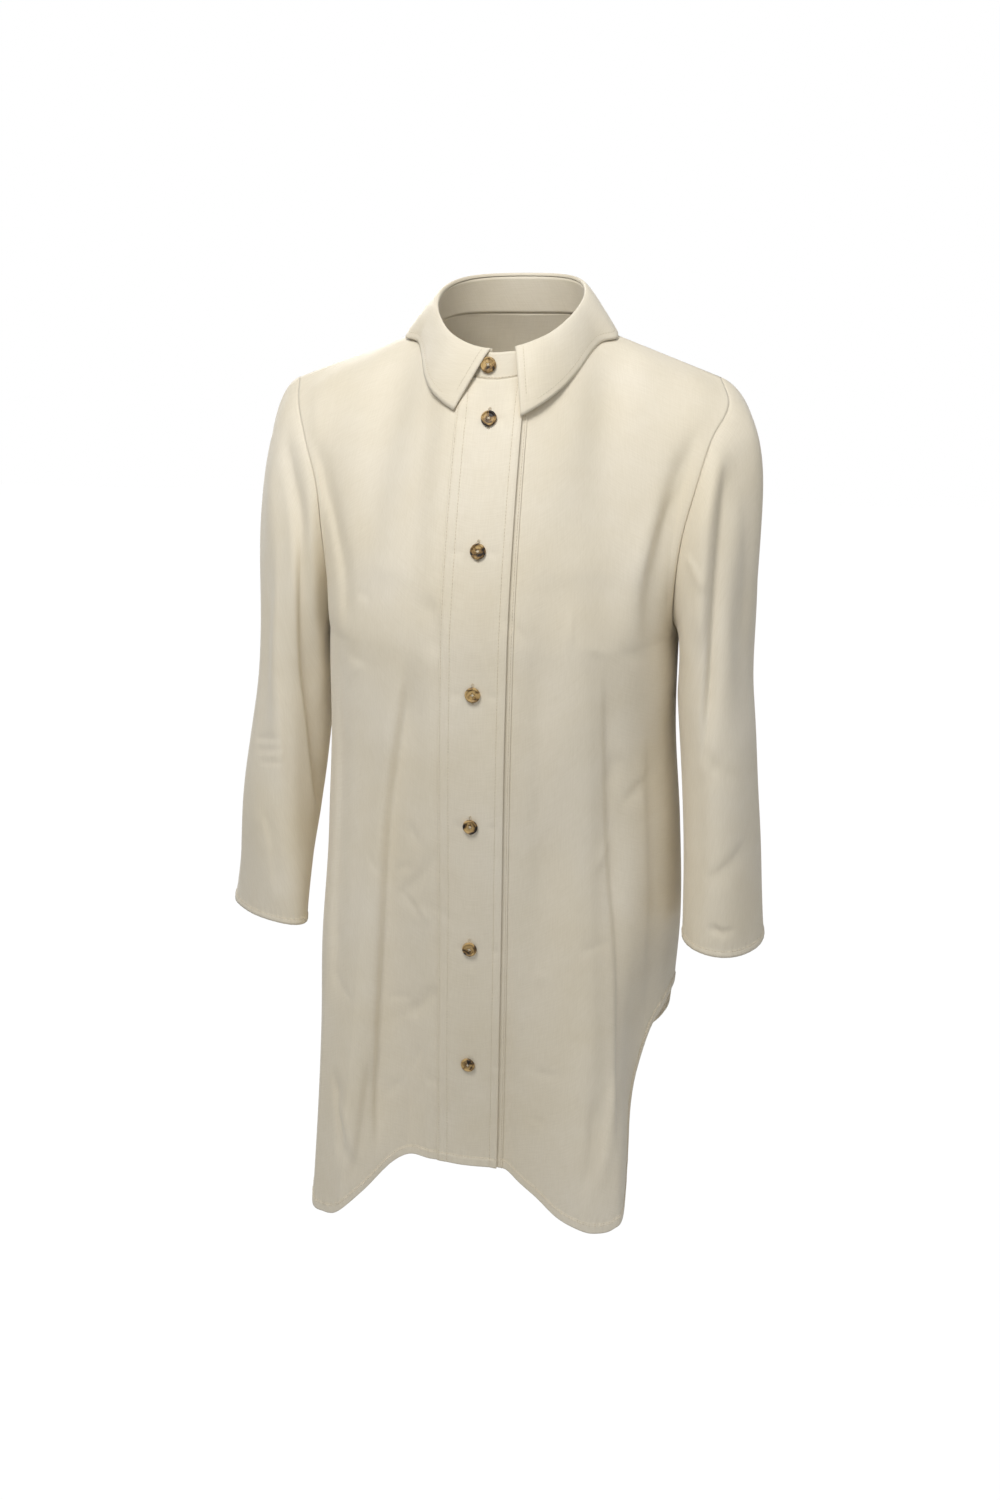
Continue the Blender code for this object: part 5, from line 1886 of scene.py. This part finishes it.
def slack(seed: int, count: int, across: tuple[float, float],
          height: tuple[float, float]) -> list[Crease]:
    """Faint short creases left by handling, scattered and leaning either way.

    Args:
        seed: Which scatter it is.
        count: How many there are.
        across: The first coordinate's least and greatest.
        height: The second's.

    Returns:
        The creases, in the order in which they are drawn.
    """
    source = np.random.default_rng(seed)
    found = []
    for _ in range(count):
        middle = np.array([source.uniform(*across), source.uniform(*height)])
        lean = source.uniform(-0.9, 0.9) + (math.pi / 2 if source.uniform() < 0.45 else 0.0)
        half = source.uniform(0.008, 0.024) * np.array([math.cos(lean), math.sin(lean)])
        bow = source.uniform(-0.16, 0.16) * np.array([-half[1], half[0]])
        line = tuple(tuple(float(c) for c in point)
                     for point in (middle - half, middle + bow, middle + half))
        depth, near = source.uniform(0.0003, 0.0009), source.uniform(0.0022, 0.0042)
        sign = 1 if source.uniform() < 0.6 else -1
        found.append(Crease(line, depth * sign, near, far=near * 1.6, fade=0.4))
    return found


def front_folds() -> tuple[Crease, ...]:
    """The fronts' folds by X and Z: long falls from the bust, pulls at the armholes, the flutes.

    A fall has one steep side and one that runs out gently, with a low ridge beside it.
    """
    folds = [
        Crease(((-0.0541, -0.2456), (-0.0606, -0.2881), (-0.0683, -0.3319), (-0.0753, -0.3769),
                (-0.0795, -0.4225), (-0.0826, -0.4687), (-0.0855, -0.5157), (-0.0883, -0.5632),
                (-0.0918, -0.6413), (-0.096, -0.73)), 0.0062, 0.0032, 0.014, 0.14),
        Crease(((-0.064, -0.26), (-0.078, -0.3319), (-0.089, -0.4225), (-0.0945, -0.5157),
                (-0.1, -0.6413)), -0.0024, 0.011, 0.005, 0.2),
        Crease(((-0.1563, -0.0816), (-0.1444, -0.1208), (-0.1308, -0.1597), (-0.1203, -0.1986),
                (-0.119, -0.245)), 0.0036, 0.0045, 0.01, 0.2),
        Crease(((-0.12, -0.23), (-0.1294, -0.3033), (-0.132, -0.3918), (-0.1342, -0.4806),
                (-0.133, -0.59)), 0.003, 0.0045, 0.012, 0.2),
        Crease(((-0.1193, -0.1879), (-0.0933, -0.1831), (-0.069, -0.1833), (-0.038, -0.188)),
               -0.0011, 0.011, 0.03, 0.35),
        Crease(((0.034, -0.1815), (0.0795, -0.1798), (0.126, -0.1845)),
               -0.0011, 0.011, 0.03, 0.35),
        Crease(((-0.042, -0.196), (-0.034, -0.22), (-0.033, -0.256)),
               0.0018, 0.01, 0.006),
        Crease(((-0.033, -0.412), (-0.0467, -0.4373), (-0.0653, -0.4577), (-0.079, -0.47)),
               0.0008, 0.0034, 0.007),
        Crease(((-0.04, -0.542), (-0.0547, -0.5668), (-0.0735, -0.5757)),
               0.0015, 0.005, 0.008),
        Crease(((-0.131, -0.65), (-0.1191, -0.6858), (-0.1103, -0.7163), (-0.101, -0.723)),
               -0.0026, 0.004, 0.0065),
        Crease(((-0.0974, -0.6105), (-0.1032, -0.6682), (-0.1153, -0.74)),
               0.0034, 0.0045, 0.01),
        Crease(((-0.135, -0.63), (-0.127, -0.676), (-0.125, -0.725)),
               0.003, 0.004, 0.007),
        Crease(((0.1731, -0.0653), (0.158, -0.0928), (0.146, -0.1293), (0.1398, -0.1642),
                (0.1356, -0.1914), (0.1341, -0.224), (0.1395, -0.2786)),
               0.0064, 0.008, 0.013, 0.3),
        Crease(((0.156, -0.101), (0.14, -0.133), (0.129, -0.17), (0.1235, -0.205)),
               -0.0022, 0.009, 0.005),
        Crease(((0.101, -0.25), (0.1024, -0.2852), (0.1046, -0.3367), (0.1083, -0.4256),
                (0.1151, -0.5074), (0.1194, -0.5718), (0.122, -0.6272), (0.1225, -0.71)),
               0.0044, 0.0034, 0.011, 0.16),
        Crease(((0.084, -0.2185), (0.088, -0.3262), (0.09, -0.4589), (0.096, -0.5926),
                (0.098, -0.6821)), -0.003, 0.015, 0.009, 0.2),
        Crease(((0.0474, -0.2018), (0.0515, -0.2819), (0.053, -0.3937), (0.0498, -0.5031)),
               0.0026, 0.01, 0.015),
        Crease(((0.112, -0.329), (0.109, -0.344), (0.1015, -0.366)),
               0.0012, 0.0042, 0.008, 0.4),
        Crease(((0.078, -0.237), (0.0967, -0.2446), (0.119, -0.255)),
               -0.0006, 0.004, 0.0065, 0.4),
        Crease(((0.144, -0.359), (0.1281, -0.3646), (0.115, -0.385)),
               0.001, 0.004, 0.008, 0.4),
        Crease(((0.135, -0.3), (0.1385, -0.4), (0.142, -0.5), (0.14, -0.6)),
               0.0034, 0.0045, 0.009, 0.2),
        Crease(((0.118, -0.61), (0.1133, -0.6755), (0.1085, -0.725)),
               -0.0022, 0.004, 0.006),
        Crease(((0.101, -0.63), (0.1, -0.68), (0.094, -0.73)), 0.0018, 0.004, 0.008),
        Crease(((0.027, -0.43), (0.0236, -0.5531), (0.02, -0.83)), 0.0015, 0.004, 0.007),
    ]
    for z in BUTTON_HEIGHTS:
        folds.append(Crease(((-0.022, z - 0.002), (-0.008, z)), 0.0006, 0.003, 0.004, 0.4))
        folds.append(Crease(((0.008, z), (0.02, z - 0.003)), 0.0006, 0.003, 0.004, 0.4))
    return (*folds, *slack(71, 34, (-0.135, 0.135), (-0.7, -0.2)))


def back_folds() -> tuple[Crease, ...]:
    """The back's folds by X and Z: falls from the shoulder blades and slack over the small."""
    return (
        Crease(((-0.08, -0.15), (-0.086, -0.3), (-0.082, -0.48), (-0.09, -0.66)),
               0.0042, 0.0045, 0.015),
        Crease(((0.074, -0.17), (0.083, -0.32), (0.078, -0.5), (0.085, -0.7)),
               0.0042, 0.015, 0.005),
        Crease(((-0.024, -0.3), (-0.018, -0.45), (-0.026, -0.82)),
               0.0024, 0.012, 0.017, 0.25),
        Crease(((0.032, -0.34), (0.026, -0.52), (0.034, -0.82)), -0.0024, 0.013, 0.017, 0.25),
        Crease(((-0.138, -0.11), (-0.128, -0.18), (-0.122, -0.235)), 0.003, 0.007, 0.011),
        Crease(((0.14, -0.105), (0.129, -0.175), (0.124, -0.235)), 0.003, 0.011, 0.007),
        Crease(((-0.09, -0.352), (-0.02, -0.366), (0.07, -0.35)), 0.0018, 0.01, 0.014),
        Crease(((-0.12, -0.4), (-0.126, -0.52), (-0.122, -0.62)), 0.0026, 0.008, 0.012),
        Crease(((0.12, -0.38), (0.127, -0.5), (0.124, -0.61)), 0.0026, 0.012, 0.008),
        *slack(83, 30, (-0.13, 0.13), (-0.7, -0.12)),
    )


def sleeve_folds_left() -> tuple[Crease, ...]:
    """The wearer's left sleeve's folds by turn in degrees and Z."""
    return (
        Crease(((26, -0.062), (33, -0.0759), (48, -0.1147), (61, -0.1596), (73, -0.2073),
                (84, -0.2557), (96, -0.3058), (106, -0.35)), 0.007, 0.011, 0.0045, 0.28),
        Crease(((40, -0.0789), (66, -0.1285), (84, -0.1904), (99, -0.2563)),
               -0.0036, 0.0045, 0.01, 0.2),
        Crease(((6, -0.044), (22, -0.0662), (29, -0.0845)), 0.0024, 0.004, 0.006),
        Crease(((34, -0.1), (31, -0.1792), (28, -0.2453)), 0.0024, 0.011, 0.006),
        Crease(((103, -0.17), (92, -0.1864), (84, -0.202)), -0.0014, 0.004, 0.006),
        Crease(((110, -0.325), (88, -0.3428), (48, -0.359)), 0.0008, 0.0055, 0.009),
        Crease(((60, -0.325), (83, -0.3467), (122, -0.38)), 0.0006, 0.0055, 0.008),
        Crease(((112, -0.446), (84, -0.437), (56, -0.424), (24, -0.406)),
               0.0015, 0.005, 0.012, 0.4),
        Crease(((102, -0.485), (79, -0.4873), (52, -0.4884)), 0.0011, 0.0028, 0.004),
        Crease(((94, -0.48), (80, -0.4873), (68, -0.496)), 0.001, 0.0028, 0.004),
        Crease(((250, -0.18), (262, -0.3), (256, -0.43)), 0.003, 0.005, 0.012),
        Crease(((230, -0.34), (262, -0.35), (292, -0.346)), 0.0016, 0.005, 0.008),
        Crease(((300, -0.12), (306, -0.22), (298, -0.32)), 0.0024, 0.005, 0.012),
    )


def sleeve_folds_right() -> tuple[Crease, ...]:
    """The wearer's right sleeve's folds by turn in degrees and Z."""
    return (
        Crease(((26, -0.0669), (62, -0.137), (105, -0.2206), (130, -0.312), (147, -0.3897),
                (158, -0.43)), 0.0062, 0.0042, 0.012, 0.12),
        Crease(((18, -0.0751), (46, -0.1555), (73, -0.239), (86, -0.326), (88, -0.416)),
               -0.0022, 0.011, 0.006, 0.2),
        Crease(((53, -0.0979), (99, -0.1705), (140, -0.2586), (154, -0.3358)),
               -0.002, 0.006, 0.009, 0.2),
        Crease(((28, -0.3504), (66, -0.3443), (94, -0.342)), 0.0008, 0.0028, 0.0036),
        Crease(((37, -0.359), (70, -0.3545), (96, -0.351)), 0.0007, 0.0026, 0.0034),
        Crease(((46, -0.369), (73, -0.365), (96, -0.364)), 0.0006, 0.0026, 0.0034),
        Crease(((60, -0.4), (66, -0.44), (58, -0.49)), 0.0016, 0.005, 0.01),
        Crease(((252, -0.17), (260, -0.3), (254, -0.44)), 0.003, 0.005, 0.012),
        Crease(((228, -0.352), (262, -0.36), (296, -0.356)), 0.0016, 0.005, 0.008),
        Crease(((304, -0.13), (310, -0.23), (300, -0.33)), 0.0024, 0.005, 0.012),
    )


# ---- the studio


@dataclass(frozen=True)
class Lamp:
    """A soft square lamp that looks at a point."""

    name: str
    at: Triple
    to: Triple
    size: float
    power: float

    def build(self) -> None:
        """The lamp in the scene."""
        data = bpy.data.lights.new(self.name, "AREA")
        data.shape = "SQUARE"
        data.size = self.size
        data.energy = self.power
        item = bpy.data.objects.new(self.name, data)
        item.location = self.at
        way = Vector(self.to) - Vector(self.at)
        item.rotation_mode = "QUATERNION"
        item.rotation_quaternion = way.to_track_quat("-Z", "Y")
        bpy.context.scene.collection.objects.link(item)


@dataclass(frozen=True)
class Studio:
    """A pale floor far below the hanging shirt, a white surround, soft lamps and the camera."""

    floor_z: float = -1.35
    floor_half: float = 9.0
    floor_grey: float = 0.86
    floor_glow: float = 1.03
    fill: float = 0.33
    shown: float = 0.97
    distance: float = 1.28
    turn: float = math.radians(11.0)
    pitch: float = math.radians(17.1)
    camera_z: float = 0.03
    lens: float = 35.9
    shift_x: float = -0.004
    lamps: tuple[Lamp, ...] = (
        Lamp("key", (-0.17, -0.92, 0.9), (0.0, 0.0, -0.16), 0.5, 12.9),
        Lamp("side", (1.3, -0.8, 0.8), (0.15, 0.0, -0.15), 1.0, 3.0),
        Lamp("rear", (-0.75, 1.2, 0.45), (0.0, 0.0, -0.3), 0.6, 11.0),
    )

    def floor(self) -> None:
        """The floor: pale and matt, shown to the camera as mostly plain white with its shadow."""
        nodes = Nodes(bpy.data.materials.new("pale_floor"))
        nodes.put(nodes.shader, Base_Color=(*[self.floor_grey] * 3, 1.0), Roughness=0.9)
        path = nodes.add("ShaderNodeLightPath")
        plain = nodes.add("ShaderNodeEmission", Color=WHITE, Strength=self.floor_glow)
        share = nodes.math("MULTIPLY", path.outputs["Is Camera Ray"], self.shown)
        mixed = nodes.mixed(share, nodes.shader.outputs[0], plain.outputs[0])
        nodes.join(mixed, nodes.tree.nodes["Material Output"].inputs["Surface"])
        half = self.floor_half
        corners = np.array([(-half, -half), (half, -half), (half, half), (-half, half)])
        place = np.column_stack([corners, np.full(4, self.floor_z)])
        item = mesh_piece("floor", place, np.array([[0, 1, 2, 3]]))
        item.data.materials.append(nodes.owner)
        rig.stage(item)

    def surround(self) -> None:
        """The surround: white where it is seen, a dim even fill elsewhere."""
        nodes = Nodes(bpy.data.worlds.new("surround"))
        bpy.context.scene.world = nodes.owner
        nodes.tree.nodes.clear()
        path = nodes.add("ShaderNodeLightPath")
        seen = path.outputs["Is Camera Ray"]
        for other in ("Is Glossy Ray", "Is Transmission Ray"):
            seen = nodes.math("MAXIMUM", seen, path.outputs[other])
        plain = [nodes.add("ShaderNodeBackground", Color=WHITE, Strength=strength).outputs[0]
                 for strength in (self.fill, 1.0)]
        output = nodes.add("ShaderNodeOutputWorld")
        nodes.join(nodes.mixed(seen, *plain), output.inputs["Surface"])

    def camera(self) -> None:
        """The camera, a little above the collar and turned towards the wearer's left."""
        data = bpy.data.cameras.new("camera")
        data.sensor_fit = "VERTICAL"
        data.sensor_height = 36.0
        data.lens = self.lens
        data.shift_x = self.shift_x
        data.clip_start = 0.05
        item = bpy.data.objects.new("camera", data)
        item.location = (self.distance * math.sin(self.turn),
                         -self.distance * math.cos(self.turn), self.camera_z)
        item.rotation_euler = (math.pi / 2 - self.pitch, 0.0, self.turn)
        bpy.context.scene.collection.objects.link(item)
        bpy.context.scene.camera = item

    def build(self) -> None:
        """Everything round the shirt."""
        self.floor()
        self.surround()
        for lamp in self.lamps:
            lamp.build()
        self.camera()
        bpy.context.scene.view_settings.view_transform = "Standard"


def sleeve_forms(body: BodyForm) -> tuple[SleeveForm, SleeveForm]:
    """The left and the right sleeve's forms."""
    columns = ("height", "centre_x", "centre_y", "half_width", "half_depth", "turn_deg", "tilt")
    folds = ("turn_deg", "half_turn", "top_z", "low_z", "depth")
    left = SleeveForm(Side.LEFT, body, Table(columns, (
        (-0.3, 0.185, -0.012, 0.032, 0.06, 0, 0.0),
        (-0.4, 0.195, -0.022, 0.032, 0.056, 0, 0.0),
        (-0.51, 0.204, -0.034, 0.0335, 0.05, 2, -0.004),
    )), Table(folds, (
        (38, 20, -0.06, -0.33, 0.005), (118, 24, -0.3, -0.5, 0.004),
        (262, 26, -0.2, -0.47, 0.005),
    )), 0.19)
    right = SleeveForm(Side.RIGHT, body, Table(columns, (
        (-0.3, 0.188, -0.01, 0.0345, 0.06, 6, 0.0),
        (-0.4, 0.2005, -0.022, 0.0355, 0.056, 22, 0.0),
        (-0.516, 0.21, -0.04, 0.0245, 0.054, 50, 0.005),
    )), Table(folds, (
        (52, 22, -0.07, -0.42, 0.0055), (128, 22, -0.26, -0.47, 0.0035),
        (258, 26, -0.22, -0.48, 0.005),
    )), 0.14)
    return left, right


def main() -> None:
    """Build the shirt's looks, piece by piece, and the studio round it."""
    logging.basicConfig(level=logging.INFO, format="%(message)s")
    wardrobe = Wardrobe(Crepe().make(), Thread().make(), Horn().make())
    body = BodyForm()
    front = BodyPanel(body, Half.FRONT, front_folds(), Ripple(0.0024, 0.1, seed=5))
    fronts = Fronts(front, Sizes(neck=64, lower=158))
    fronts.build(wardrobe)
    back = BodyPanel(body, Half.BACK, back_folds(), Ripple(0.0018, 0.095, seed=11))
    Back(back).build(wardrobe)
    left, right = sleeve_forms(body)
    Sleeve(left, sleeve_folds_left(), Ripple(0.0015, 0.065, seed=21)).build(wardrobe)
    Sleeve(right, sleeve_folds_right(), Ripple(0.0015, 0.065, seed=34)).build(wardrobe)
    collar = Collar(body, fronts)
    collar.build(wardrobe)
    Fastenings(fronts, collar).build(wardrobe)
    Studio().build()
    box = [[float(c) for c in corner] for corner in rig.bounds()]
    cad = [[float(c) for c in corner] for corner in CAD_BOX]
    with open("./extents.json", "w", encoding="utf-8") as out:
        json.dump({"cad": cad, "visual": box}, out)


if __name__ == "__main__":
    main()
